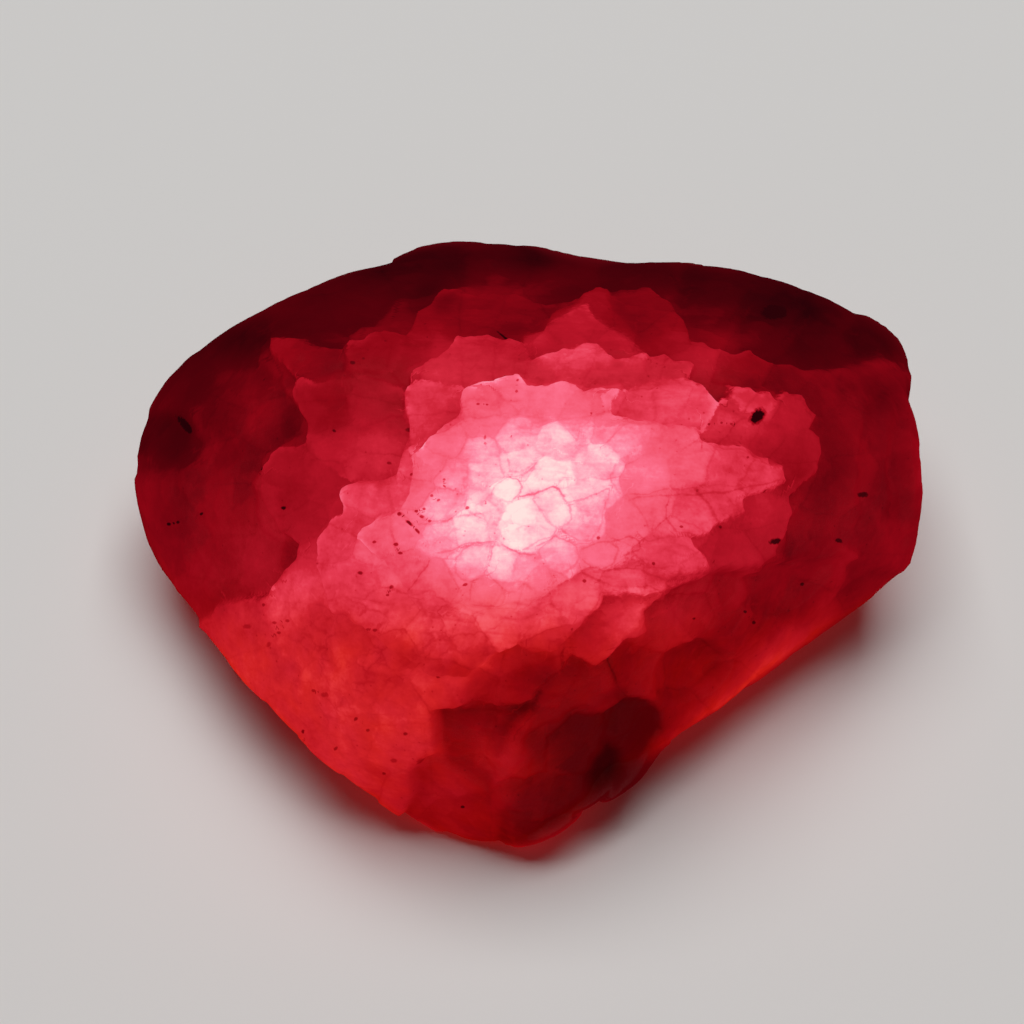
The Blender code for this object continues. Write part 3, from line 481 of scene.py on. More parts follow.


# ---------------------------------------------------------------------------------------------
# Light in the stone, painted. A torch stood under the real stone, so it glowed through; here that glow is
# painted as emission colour: almost white pink over the torch, deep red where it is thick, orange red
# in the thin lower rim. Each growth layer lets through its own amount; edges of layers catch the light
# and cracks block it. Levels run from 0, dark, to 1, white pink.

# Light of each layer: ground level, then hills: middle, half length, half width, turn, height.
LAYER_LIGHT = {
    "skirt": (0.25, [
        (-13.5, -0.5, 4.5, 4.0, 0, 0.07), (-16.5, 8.0, 3.5, 3.0, 40, -0.10),
        (-9.0, 11.8, 4.5, 1.1, 22, -0.12), (-3.5, 13.0, 5.0, 1.2, 4, -0.17),
        (-1.0, 11.6, 3.0, 1.1, 0, 0.06), (6.0, 12.4, 4.0, 0.9, -6, -0.14), (2.8, 11.3, 1.8, 0.7, 0, -0.09),
        (0.4, 13.0, 1.6, 0.9, 0, -0.12), (-13.0, 9.2, 3.4, 0.9, 8, -0.13), (-12.3, 6.0, 1.3, 1.8, 0, 0.09),
        (-16.5, 1.2, 1.5, 2.6, 0, -0.05), (12.8, 10.6, 4.5, 2.2, -15, -0.17),
        (-14.4, -5.0, 1.5, 1.2, -40, 0.16), (-3.6, -10.6, 2.2, 4.0, 20, 0.15),
        (9.0, -2.0, 3.5, 1.6, 15, 0.11), (14.0, -2.0, 3.0, 2.5, 0, 0.03), (9.3, -7.3, 4.5, 0.8, 38, 0.30),
        (11.5, -4.6, 2.5, 0.8, 38, 0.12), (6.3, -4.6, 2.2, 2.4, 50, 0.13), (6.2, -3.1, 1.2, 0.7, 20, 0.08),
        (2.8, -6.2, 3.2, 1.8, 0, 0.06), (-2.0, -13.0, 1.0, 0.8, 0, -0.05),
        (4.2, -11.2, 0.7, 0.9, -30, -0.12), (4.0, -6.9, 0.8, 0.5, 0, -0.07),
        (-2.2, -11.2, 0.8, 0.8, 0, -0.05), (7.6, -6.6, 1.8, 1.2, 30, 0.06),
        (-12.2, -1.0, 1.6, 1.6, 0, 0.10), (-1.6, -10.0, 1.0, 3.0, 0, 0.08), (1.8, -13.4, 1.6, 0.8, 5, 0.03),
        (-2.0, -9.0, 0.8, 1.2, 0, 0.08), (10.2, -5.0, 1.2, 0.8, 35, 0.08), (8.8, 9.2, 1.8, 0.7, -5, 0.11),
        (-12.2, 1.2, 1.0, 1.2, 0, 0.04), (0.4, -10.2, 1.1, 2.0, 0, 0.06), (-4.2, 11.0, 0.9, 0.6, 0, -0.07),
        (16.2, 9.0, 1.2, 0.8, 0, -0.06), (11.8, 11.2, 1.8, 0.8, -15, -0.06),
        (-5.0, 11.3, 1.4, 0.7, 30, -0.08), (17.4, 1.6, 0.8, 3.0, 0, -0.08), (-2.6, -7.6, 1.6, 1.2, 0, 0.08),
        (-9.4, 8.8, 1.0, 0.4, 0, -0.05)]),
    "outer_ledge": (0.29, [
        (-10.5, -6.0, 7.5, 4.8, -18, 0.31), (-8.5, 3.2, 3.4, 3.4, 30, 0.15), (2.2, 9.7, 1.8, 1.1, -8, 0.05),
        (0.1, 9.2, 0.7, 0.5, 0, 0.08), (6.0, 9.1, 0.9, 0.5, 0, 0.05), (-4.2, 8.4, 2.2, 1.3, 10, 0.16),
        (4.3, -3.9, 2.8, 2.4, 20, 0.25), (8.0, 8.3, 1.8, 1.2, -20, 0.16), (14.8, 0.6, 1.2, 1.6, 0, 0.04),
        (16.2, 7.0, 1.4, 1.2, 0, -0.09), (-6.5, 4.1, 1.8, 1.7, 0, 0.18), (4.3, 9.0, 1.8, 0.7, 0, 0.06),
        (1.0, -4.9, 1.6, 0.8, 0, 0.08), (-4.0, 10.8, 0.8, 0.6, 0, -0.07), (-10.0, -1.7, 2.0, 1.4, 20, 0.21),
        (-2.7, -5.6, 2.8, 1.4, 20, 0.21), (-4.3, -7.0, 1.1, 0.6, 0, -0.07), (-4.8, -8.6, 1.6, 2.6, 0, 0.14),
        (-8.0, -10.8, 2.6, 1.2, -35, 0.14), (5.0, -5.2, 1.2, 1.0, 0, 0.06), (-7.0, -4.6, 2.0, 1.4, 0, 0.06),
        (-9.4, 5.6, 1.6, 1.2, 0, -0.05), (12.2, 1.0, 1.0, 1.0, 0, 0.06), (14.0, 3.0, 1.1, 1.2, 0, -0.025),
        (18.0, 3.0, 0.7, 1.0, 0, 0.08), (-6.2, 7.0, 0.8, 0.5, 0, 0.06), (5.0, -3.0, 1.6, 0.9, 10, 0.08),
        (-11.8, -3.2, 1.4, 0.8, 10, 0.07), (-2.4, -5.1, 1.2, 0.8, 20, 0.09), (-9.9, 1.0, 0.9, 0.9, 0, 0.05),
        (10.1, 7.2, 0.7, 0.4, 0, -0.05), (-0.6, -6.8, 1.6, 0.5, 5, 0.07), (-8.3, 8.8, 0.8, 0.4, 0, -0.06),
        (-7.6, -8.6, 2.2, 1.6, -35, 0.07), (-5.5, -4.6, 0.5, 1.8, -25, -0.05)]),
    "middle_ledge": (0.40, [
        (-6.5, 0.0, 4.5, 5.5, 0, 0.30), (1.0, 7.2, 6.5, 2.9, -4, 0.19), (0.5, -2.8, 5.5, 2.2, 12, 0.27),
        (5.5, -1.5, 3.5, 2.2, 15, 0.13), (7.0, 6.0, 3.2, 2.2, -10, 0.11), (-5.0, 6.4, 2.0, 2.4, 0, 0.02),
        (10.5, 5.2, 1.5, 1.2, 0, 0.08), (10.2, 1.6, 1.4, 1.1, 0, 0.12), (-3.2, 7.6, 1.3, 0.9, 0, 0.04),
        (8.0, 5.5, 2.2, 1.2, 0, 0.09), (-5.9, 3.0, 0.8, 0.8, 0, 0.04), (-5.9, 6.6, 0.5, 0.8, 0, 0.05),
        (8.0, -1.1, 0.9, 0.3, 0, -0.05), (12.3, 3.0, 0.8, 0.8, 0, -0.05), (-4.8, 5.2, 1.4, 0.8, 0, 0.04),
        (2.1, -3.0, 1.0, 0.7, 20, -0.04), (4.3, -1.2, 1.0, 0.5, 15, 0.04), (10.1, 7.1, 0.7, 0.4, 0, -0.04),
        (-1.8, -3.2, 2.6, 0.7, 0, 0.035)]),
    "heart_ledge": (0.61, [
        (0.3, 1.5, 5.1, 3.7, 12, 0.30), (-0.7, 5.8, 3.8, 2.2, 0, 0.12), (4.8, 4.0, 3.0, 2.2, 0, 0.09),
        (-4.6, 1.2, 2.4, 1.6, 10, 0.12), (-1.9, 2.0, 1.6, 1.8, 0, 0.06), (2.6, 4.6, 2.8, 1.2, 0, 0.03),
        (0.2, -1.4, 2.2, 1.2, 0, 0.045), (0.4, 4.2, 2.4, 1.4, 0, 0.045), (6.0, 3.2, 1.2, 0.8, 0, 0.04),
        (-1.6, 6.2, 0.8, 0.8, 0, -0.03), (-2.8, -0.5, 2.0, 1.2, 10, 0.09), (1.0, 7.0, 1.0, 0.6, 0, 0.04),
        (-2.2, 4.2, 1.2, 0.9, 0, 0.07), (8.6, 4.9, 1.4, 0.7, 0, 0.08), (6.8, 1.0, 1.8, 0.8, 15, 0.05),
        (5.0, -0.8, 1.8, 0.6, 5, 0.04), (1.3, 0.8, 1.0, 0.8, 0, 0.045), (-2.6, 0.1, 1.0, 0.5, 5, -0.05),
        (-0.8, -2.1, 1.4, 0.5, 5, 0.05), (-2.0, 2.1, 0.6, 0.5, 0, -0.04), (-4.4, 3.6, 1.0, 1.2, 0, 0.045),
        (-0.8, 3.1, 0.9, 0.5, 10, 0.03), (-2.1, 3.1, 0.8, 0.6, 0, 0.03), (2.3, 3.0, 0.8, 0.6, 0, 0.04)]),
}

# Half the width of the change of light at a broken edge: ground, then hills.
EDGE_SOFTNESS = (0.17, [
    (-7.2, -4.6, 3.2, 2.0, -25, 0.9), (-4.2, -2.8, 1.6, 1.0, 0, 0.25), (1.0, -4.6, 3.0, 1.2, 0, 0.12),
    (-2.0, -5.6, 1.6, 0.8, 36, -0.13), (5.0, -3.7, 0.9, 0.9, 0, 0.25), (15.0, 5.0, 1.8, 5.0, 0, 0.25),
    (11.5, -1.3, 3.5, 1.2, 8, 0.35), (1.2, 11.1, 2.4, 0.8, 0, 0.5), (2.6, 7.9, 3.0, 0.35, 0, 0.6),
    (-14.5, 3.0, 2.6, 0.9, 0, 0.35), (5.2, 5.8, 1.4, 0.8, 0, 0.25), (5.8, -4.8, 1.0, 1.2, 0, 0.15),
    (2.6, -11.0, 3.0, 3.0, 0, 0.6), (3.3, -10.4, 1.6, 0.9, 70, -0.35), (-2.6, -9.0, 1.6, 2.2, 0, 0.12),
    (-16.4, 4.8, 1.4, 1.2, 0, 0.3), (13.0, 4.8, 0.9, 2.2, 0, 0.12), (9.8, 4.1, 1.8, 0.6, -15, 0.25),
    (10.0, 6.0, 1.0, 0.4, 0, 0.3), (-4.9, -10.0, 0.9, 2.6, 0, 0.35)])
EDGE_LEAST, EDGE_MOST = 0.05, 0.9
CRISP_LIMIT = 0.3       # a softer edge than this needs no help to look even
EDGE_REACH = 0.4        # how far from an edge its two levels are kept apart

# The same half width where two scales meet, near the torch and far from it, and tones of scales.
SCALE_CRISP, SCALE_SOFT = 0.10, 0.38
CELL_TONE = 0.020       # light for each step of a scale's height
CELL_LEVEL = 0.7        # height of a scale, in steps, that adds no light
CELL_SLOPE = 0.035      # rise of light per millimetre across a scale, away from the torch
CELL_SLOPE_REACH = 0.9  # mm from the middle of the scale
TORCH = (0.3, 1.5)

# Broken edges that catch the light: middle, half length, half width, turn, strength.
LIPS = [
    (-10.3, 7.2, 0.9, 0.9, 0, 1.0), (-11.6, 3.7, 1.0, 0.8, 20, 0.8), (-8.0, 9.0, 1.2, 0.6, 0, 0.8),
    (-5.4, 7.1, 0.9, 0.9, 0, 0.9), (-3.9, 11.3, 0.9, 0.5, 0, 0.5), (2.3, 10.6, 1.3, 0.6, 0, 1.0),
    (-7.7, 0.3, 0.9, 1.0, 0, 1.0), (-8.6, 2.2, 0.6, 1.0, 0, 0.8), (8.3, 6.6, 1.5, 1.6, 40, 0.7),
    (10.3, 8.7, 1.8, 0.5, -10, 0.7), (10.7, 6.7, 1.2, 0.7, 0, 0.6), (-1.5, 7.3, 1.8, 0.6, 0, 1.0),
    (3.6, 6.9, 1.2, 0.7, 0, 0.5), (7.0, 8.3, 1.6, 0.6, -15, 0.6), (-12.0, -2.2, 1.6, 0.7, 15, 0.4),
    (-9.5, -0.7, 0.6, 1.2, 0, 0.6), (12.4, 3.0, 0.8, 1.5, 0, 0.4), (-3.2, 9.2, 1.6, 0.6, 0, 0.6),
    (-4.8, 4.4, 0.9, 0.6, 45, 0.9), (4.2, 6.0, 0.8, 1.0, 0, 0.5), (9.5, 4.5, 1.6, 0.6, -15, 0.4),
]

# Cracks round the heart: darkness, then points along each.
CRACKS = [
    (0.9, [(-1.75, 2.25), (-1.45, 2.7), (-1.1, 3.05), (-0.65, 2.95), (-0.5, 2.6), (-0.6, 2.2), (-0.85, 1.85),
           (-1.35, 1.95), (-1.45, 1.8)]),
    (0.7, [(-0.45, 3.15), (0.25, 3.55), (0.95, 3.6), (1.5, 3.45), (1.55, 3.05), (1.2, 2.6)]),
    (1.3, [(-0.5, 2.15), (0.0, 2.25), (0.6, 2.45), (1.0, 2.5), (1.25, 2.35), (1.5, 2.15)]),
    (0.6, [(0.0, 2.0), (0.25, 1.65), (0.45, 1.4), (0.8, 1.1), (1.15, 0.75), (0.95, 0.35), (0.45, 0.3),
           (0.0, 0.0), (-0.45, -0.25)]),
    (0.8, [(1.5, 2.05), (1.7, 1.65), (1.75, 1.25), (1.55, 0.95), (1.2, 0.75)]),
    (0.6, [(1.6, 1.8), (2.15, 1.95), (2.85, 2.35), (3.55, 2.5), (3.4, 1.8), (3.2, 1.25), (3.1, 0.7),
           (2.6, 0.3)]),
    (1.1, [(1.2, 0.75), (1.6, 0.5), (2.15, 0.2), (2.7, 0.3)]),
    (0.7, [(0.4, 0.0), (1.05, 0.35), (1.6, 0.15), (1.95, -0.1), (2.05, -0.55), (1.9, -0.95), (1.4, -1.3),
           (0.95, -1.1), (0.6, -0.75)]),
    (0.9, [(-1.55, 0.15), (-1.2, -0.1), (-0.6, -0.4), (0.0, -0.45)]),
    (1.0, [(-1.65, -0.1), (-1.8, -0.65), (-1.95, -1.1), (-1.65, -1.5), (-1.35, -1.9), (-1.05, -2.05),
           (-0.65, -2.05), (-0.45, -1.75), (0.0, -1.95), (0.5, -2.2), (0.8, -2.05), (1.05, -1.65),
           (0.8, -1.2), (0.6, -0.75)]),
    (0.9, [(-4.1, -0.4), (-3.65, -0.25), (-3.2, 0.0), (-2.5, 0.1), (-1.8, 0.1)]),
    (0.7, [(-3.45, -0.65), (-3.05, -0.2), (-2.5, 0.1)]),
    (0.8, [(-1.95, -1.1), (-2.4, -1.5), (-2.7, -1.65), (-3.1, -1.55), (-3.4, -1.35), (-3.45, -0.95)]),
    (0.6, [(-2.75, -2.3), (-2.7, -1.75)]),
    (0.8, [(-5.0, 0.95), (-4.55, 0.95), (-3.85, 1.1), (-3.2, 1.2), (-2.35, 1.4), (-1.8, 1.45), (-1.45, 1.8)]),
    (0.5, [(-1.35, -1.95), (-1.25, -2.3), (-1.4, -2.7), (-1.95, -2.85), (-2.5, -2.7)]),
    (0.8, [(2.15, -0.25), (2.6, 0.0), (3.0, 0.15), (3.55, 0.15), (3.95, -0.25), (3.65, -0.9), (3.1, -1.15),
           (2.6, -1.1), (2.3, -0.75)]),
    (0.7, [(3.65, 0.15), (4.35, 0.35), (4.9, 0.2), (4.85, -0.25), (4.15, -0.55)]),
    (0.6, [(4.35, 4.0), (3.8, 3.8), (3.6, 3.15), (3.65, 2.75), (3.95, 2.35), (4.5, 1.95), (5.05, 2.2),
           (6.4, 2.25)]),
    (0.5, [(1.6, 3.4), (1.6, 2.75)]),
    (0.6, [(-1.1, 3.85), (-1.0, 3.3), (-0.45, 3.25), (0.1, 3.6), (0.95, 3.7), (1.75, 4.1), (2.3, 4.6)]),
    (0.5, [(0.25, 3.85), (1.2, 4.2), (1.9, 4.6), (2.15, 5.1)]),
    (0.6, [(6.4, 2.25), (7.2, 2.2), (8.3, 2.35), (9.6, 2.5), (10.6, 2.7), (11.4, 2.95)]),
    (0.6, [(6.4, 2.2), (6.15, 1.7), (6.2, 1.1), (6.6, 0.6), (7.4, 0.4)]),
    (0.7, [(4.9, 0.5), (5.5, 0.2), (6.3, 0.45), (7.1, 0.3)]),
    (0.7, [(3.6, -1.2), (4.4, -1.0), (5.2, -1.3), (6.0, -1.6), (7.0, -1.35), (8.0, -1.2)]),
    (0.6, [(3.0, -1.6), (4.0, -1.9), (5.2, -1.8), (6.0, -2.2), (5.6, -2.9), (5.0, -3.2)]),
    (0.9, [(-5.9, 1.35), (-5.4, 1.0), (-5.1, 0.6), (-4.8, 0.2)]),
    (1.0, [(3.6, -5.1), (3.6, -5.6), (3.8, -6.2), (4.0, -6.6), (4.3, -6.9)]),
    (1.0, [(1.5, -4.9), (1.35, -5.5), (0.9, -6.1), (0.3, -6.6), (-0.2, -6.95), (-1.4, -7.2)]),
]

# Where the lines between scales fade: round the torch, where cracks take over, and low on the left.
LINE_CALM = [(0.6, 1.3, 3.4, 3.0, 10, 0.75), (-9.5, -6.4, 5.5, 3.2, -38, 0.7), (2.2, -10.8, 3.0, 3.4, 0, 1.0),
             (0.5, 7.0, 5.0, 1.3, 0, 0.8), (-2.0, 8.7, 4.0, 0.8, 0, 0.6)]

# Where scales differ little in light: in the hollowed tip and low on the left.
TONE_CALM = [(2.2, -10.8, 3.2, 3.4, 0, 1.0), (-9.5, -6.4, 5.5, 3.2, -38, 0.4)]

# Where fine flakes, about a millimetre long, show on the scales.
FINE_FLAKES = [
    (-3.5, -3.8, 5.0, 2.0, -8, 1.0), (-8.5, -6.0, 4.0, 3.0, -40, 0.9), (5.0, -2.0, 4.0, 1.2, 10, 0.8),
    (8.5, 2.2, 2.5, 2.0, 15, 0.7), (-4.5, 2.5, 2.5, 3.0, 0, 0.6), (0.0, 8.2, 6.0, 1.2, 0, 0.5),
    (10.5, 6.0, 2.0, 1.2, 0, 0.7), (0.5, 6.2, 4.0, 1.2, 0, 0.9), (0.2, 1.8, 3.0, 1.8, 10, 0.8)]

# Dark grains grown into the stone: middle, half length, half width, turn, darkness.
GRAIN_REACH = 3         # half lengths, past which a point counts as away from the grain
GRAINS = [
    (10.2, 5.75, 0.37, 0.33, 20, 1.0), (-15.75, 5.35, 0.50, 0.20, -50, 0.95),
    (11.0, 0.1, 0.28, 0.15, 15, 0.8), (15.2, 2.2, 0.20, 0.13, 0, 0.6), (14.1, 0.1, 0.14, 0.12, 0, 0.6),
    (11.2, 10.5, 0.60, 0.35, 0, 0.3), (-1.1, 9.5, 0.50, 0.05, -33, 0.8), (-11.2, 1.6, 0.10, 0.08, 0, 0.8),
    (-15.0, 1.3, 0.10, 0.07, 30, 0.7), (-16.0, 0.9, 0.08, 0.08, 0, 0.6), (-16.4, 0.8, 0.10, 0.08, 0, 0.7),
    (-10.4, -8.6, 0.12, 0.08, 70, 0.7), (-10.2, -9.3, 0.10, 0.08, 60, 0.6),
    (-8.0, -8.0, 0.12, 0.08, 40, 0.6), (-7.7, -1.3, 0.12, 0.09, 0, 0.7), (-6.4, -1.95, 0.09, 0.09, 0, 0.6),
    (-6.5, -2.3, 0.08, 0.06, 0, 0.5), (-4.3, -6.1, 0.10, 0.08, 0, 0.5), (-3.1, -12.0, 0.12, 0.08, 0, 0.6),
    (-5.7, -8.6, 0.10, 0.08, 0, 0.5), (2.4, -1.65, 0.10, 0.08, 0, 0.5), (5.5, -0.85, 0.09, 0.08, 0, 0.6),
    (-3.0, -1.8, 0.12, 0.08, 30, 0.5), (-2.9, 1.65, 0.10, 0.08, 0, 0.6), (3.0, 0.3, 0.10, 0.09, 0, 0.6),
    (7.4, -3.4, 0.10, 0.07, 0, 0.5), (10.1, -3.6, 0.10, 0.08, 0, 0.5), (12.4, -1.9, 0.10, 0.08, 0, 0.5),
    (9.7, -3.1, 0.08, 0.08, 0, 0.5), (10.6, 2.4, 0.08, 0.08, 0, 0.5), (-11.0, -3.5, 0.10, 0.08, 0, 0.4),
    (-11.6, -3.6, 0.12, 0.08, 0, 0.4), (-7.3, -3.8, 0.10, 0.07, 0, 0.4), (8.7, 0.8, 0.08, 0.08, 0, 0.5),
    (6.8, 0.8, 0.09, 0.07, 0, 0.5), (-5.5, 0.95, 0.22, 0.08, -45, 0.8), (-5.15, 0.6, 0.16, 0.08, -50, 0.7),
    (-4.95, 1.25, 0.12, 0.08, 0, 0.6), (-4.6, 1.05, 0.09, 0.07, 0, 0.5), (-5.9, 1.35, 0.10, 0.09, 0, 0.7),
    (-4.85, 1.6, 0.08, 0.07, 0, 0.6), (-6.1, 0.0, 0.11, 0.08, 0, 0.6), (-5.95, -0.4, 0.10, 0.07, 0, 0.6),
    (-4.5, 2.2, 0.08, 0.07, 0, 0.5), (-3.9, 2.6, 0.09, 0.05, -40, 0.5), (-12.3, 3.4, 0.09, 0.07, 20, 0.6),
    (-6.5, 3.7, 0.10, 0.07, 0, 0.5), (-5.5, 3.2, 0.08, 0.06, 40, 0.5), (-3.9, 2.9, 0.08, 0.06, 0, 0.5),
    (-4.2, 2.0, 0.10, 0.06, 30, 0.5), (-5.2, 1.5, 0.09, 0.07, 0, 0.6), (-7.0, 0.1, 0.09, 0.07, 0, 0.5),
    (-8.9, 5.1, 0.10, 0.07, -30, 0.5), (-8.0, 8.1, 0.14, 0.09, 0, 0.35), (-5.7, 5.3, 0.15, 0.11, 20, 0.45),
    (-2.1, 4.85, 0.07, 0.16, 0, 0.4), (-11.4, -4.05, 0.11, 0.08, 0, 0.5),
    (-12.1, -2.8, 0.10, 0.08, 30, 0.5), (-7.0, -3.85, 0.10, 0.07, 0, 0.45),
    (-12.9, -3.8, 0.20, 0.12, 0, 0.3), (-11.9, -4.6, 0.18, 0.12, 40, 0.3), (-9.9, -6.7, 0.10, 0.08, 0, 0.5),
    (-9.4, -6.9, 0.20, 0.13, 0, 0.3), (-7.45, -8.5, 0.10, 0.08, 0, 0.5), (-8.85, -9.3, 0.10, 0.07, 50, 0.5),
    (-6.2, -9.8, 0.16, 0.10, 0, 0.3), (-5.0, -9.8, 0.25, 0.15, 60, 0.3), (-6.7, -10.5, 0.10, 0.08, 0, 0.45),
    (-1.2, 7.75, 0.09, 0.07, 0, 0.5), (-0.6, 7.25, 0.08, 0.06, 0, 0.5), (-0.65, 6.8, 0.07, 0.06, 0, 0.4),
    (-2.4, 6.3, 0.08, 0.06, 0, 0.4), (-2.0, 6.3, 0.07, 0.05, 0, 0.4), (8.1, 5.45, 0.08, 0.06, 0, 0.5),
    (8.65, 5.5, 0.07, 0.06, 0, 0.5), (9.1, 5.45, 0.08, 0.05, 0, 0.4), (9.4, 4.45, 0.08, 0.06, 0, 0.5),
    (9.75, 3.9, 0.07, 0.06, 0, 0.4),
]


def hills(u, v, ground, bells):
    """A ground level plus bell curves of the squared distance from each middle, in half lengths."""
    level = np.full(u.shape, float(ground))
    for x, y, length, width, turn, height in bells:
        along, across = turned(u, v, x, y, turn)
        level += height * np.exp(-(along / length) ** 2 - (across / width) ** 2)
    return level


def layer_light(u, v, depths, soft, edge=None, share=None):
    """Light of the layers and plates, each inside its outline, with edges as wide as soft says. Edge,
    if given, is the number of the outline nearest to each point, which there counts as crossed or
    not, as share says."""
    level = hills(u, v, *LAYER_LIGHT["skirt"])
    for number, (name, layer) in enumerate(LAYERS.items()):
        inside = smooth(depths[name] / (2 * soft) + 0.5)
        if edge is not None:
            inside = np.where(edge == number, share, inside)
        if name in LAYER_LIGHT:
            level += (hills(u, v, *LAYER_LIGHT[name]) - level) * inside
        else:
            level += layer[1] * inside
    return level


def edge_light(u, v, depths, soft):
    """Light just outside and just inside the nearest outline, and the distance inside that outline.
    Away from outlines, and at soft ones, the two levels are the same, so that no edge shows half
    way between two outlines."""
    stack = np.stack(list(depths.values()))
    edge = np.abs(stack).argmin(axis=0)
    distance = stack[edge, np.arange(len(u))]
    plain = layer_light(u, v, depths, soft)
    near = (np.abs(distance) < EDGE_REACH) & (soft < CRISP_LIMIT)
    outer = np.where(near, layer_light(u, v, depths, soft, edge, 0.0), plain)
    inner = np.where(near, layer_light(u, v, depths, soft, edge, 1.0), plain)
    return outer, inner, distance


def two_nearest(gap):
    """Numbers of the nearest and next nearest middles, from squared distances to all of them."""
    order = np.argpartition(gap, 1, axis=1)[:, :2]
    rows = np.arange(len(gap))
    swapped = gap[rows, order[:, 0]] > gap[rows, order[:, 1]]
    first = np.where(swapped, order[:, 1], order[:, 0])
    return first, order.sum(axis=1) - first, gap[rows, first], gap[rows, order.sum(axis=1) - first]


def scale_light(u, v, number):
    """Light that a scale adds: more on higher scales, and rising away from the torch."""
    middle = SCALE_LIST[number]
    out = middle[:, :2] - np.array(TORCH)
    out /= np.linalg.norm(out, axis=1)[:, None]
    along = (u - middle[:, 0]) * out[:, 0] + (v - middle[:, 1]) * out[:, 1]
    along = np.clip(along, -CELL_SLOPE_REACH, CELL_SLOPE_REACH)
    even = np.clip(hills(u, v, 0, TONE_CALM), 0, 1)
    return (CELL_TONE * (middle[:, 2] - CELL_LEVEL) + CELL_SLOPE * along) * (1 - even)


def path_distance(u, v, paths):
    """Distance to the nearest of several open paths, signed by which side of it the point is on, and
    that path's darkness."""
    nearest = np.full(u.shape, 9.0)
    signed, dark = nearest.copy(), np.zeros(u.shape)
    for darkness, path in paths:
        for (x0, y0), (x1, y1) in zip(path[:-1], path[1:]):
            dx, dy = x1 - x0, y1 - y0
            t = np.clip(((u - x0) * dx + (v - y0) * dy) / (dx * dx + dy * dy), 0, 1)
            distance = np.hypot(u - x0 - t * dx, v - y0 - t * dy)
            closer = distance < nearest
            turned_left = dx * (v - y0) - dy * (u - x0) > 0
            signed = np.where(closer, np.where(turned_left, distance, -distance), signed)
            dark = np.where(closer, darkness, dark)
            nearest = np.minimum(nearest, distance)
    return signed, nearest, dark


def grain_place(u, v):
    """Place within the nearest dark grain, as lengths along and across it in half lengths. A third
    length grows away from the grain, so that no false grain appears half way between two."""
    best = np.full(u.shape, 1e9)
    place, dark = np.zeros((len(u), 3)), np.zeros(u.shape)
    for x, y, length, width, turn, darkness in GRAINS:
        along, across = turned(u, v, x, y, turn)
        along, across = along / length, across / width
        far = np.hypot(along, across)
        closer = far < best
        place[closer] = np.stack([along, across, np.maximum(far - GRAIN_REACH, 0)], axis=1)[closer]
        dark = np.where(closer, darkness, dark)
        best = np.minimum(best, far)
    return place, dark


# ---------------------------------------------------------------------------------------------
# The stone itself: one closed mesh, a sphere of directions drawn out to the surface, with more
# directions on the front, and the levels of light stored on its points.

GRID = 128              # squares along each side of the cube that the sphere starts from
FRONT_PULL = 0.55       # how strongly directions are drawn to the front
HIDDEN_GLOW = 0.16      # light of the hidden sides
HIDDEN_GLOW_LOW = 0.30  # how much more there is at the table, near the torch
HIDDEN_GLOW_REACH = 3.5 # and how far up that goes
UNDER_TIP = [(4.8, -10.8, 2.2, 2.2, 0, -0.16)]      # a darker place under the tip
FLAKE_TONE = 0.03       # light between the darkest and the lightest flake
LIP_CRISPNESS = 0.1     # how much crisper an edge with a bright lip is
WARM_FRONT = 0.65       # warmth of the light low on the front, where the stone is thin
WARM_TOP, WARM_DEPTH = -0.5, 5.0    # v where that begins, and how far below it is full
RIM_REACH = 0.6         # cosine to the line of sight where the warm rim ends
RIM_TOP, RIM_DEPTH = 4.0, 10.0
HIDDEN_WARMTH = 0.3     # warmth of the hidden sides
HIDDEN_WARMTH_LOW = 0.6 # how much more there is at the table
LINE_FAR = 0.6          # strength of the lines between scales far from the torch
LINE_NEAR = 0.4         # how much more it is near the torch
LINE_REACH = 6.0
LINE_LEAST = 0.35       # faintest line, as a share of the strongest
PAIR_SEED = 2
LINE_HIDDEN = 1.1       # strength on the hidden sides
HIDDEN_TONE = 0.03      # light of the highest hidden scale
HIDDEN_APART = 0.35     # twice the distance between hidden scales, as a share of the radius


def cube_sphere(n):
    """Directions on a sphere and the squares between them: on each of a cube's six sides, a grid of
    n by n squares whose lines are even in angle; points shared by two sides are merged."""
    t = np.tan(np.linspace(-1, 1, n + 1) * np.pi / 4)
    a, b = np.meshgrid(t, t, indexing="ij")
    one = np.ones_like(a)
    sides = [(one, a, b), (-one, b, a), (b, one, a), (a, -one, b), (a, b, one), (b, a, -one)]
    points = np.concatenate([np.stack(side, axis=-1).reshape(-1, 3) for side in sides])
    number = np.arange((n + 1) * (n + 1)).reshape(n + 1, n + 1)
    square = np.stack([number[:-1, :-1], number[1:, :-1], number[1:, 1:], number[:-1, 1:]], axis=-1)
    squares = np.concatenate([square.reshape(-1, 4) + k * number.size for k in range(6)])
    points, home = np.unique(points.round(9), axis=0, return_inverse=True)
    return points / np.linalg.norm(points, axis=1)[:, None], home.reshape(-1)[squares]


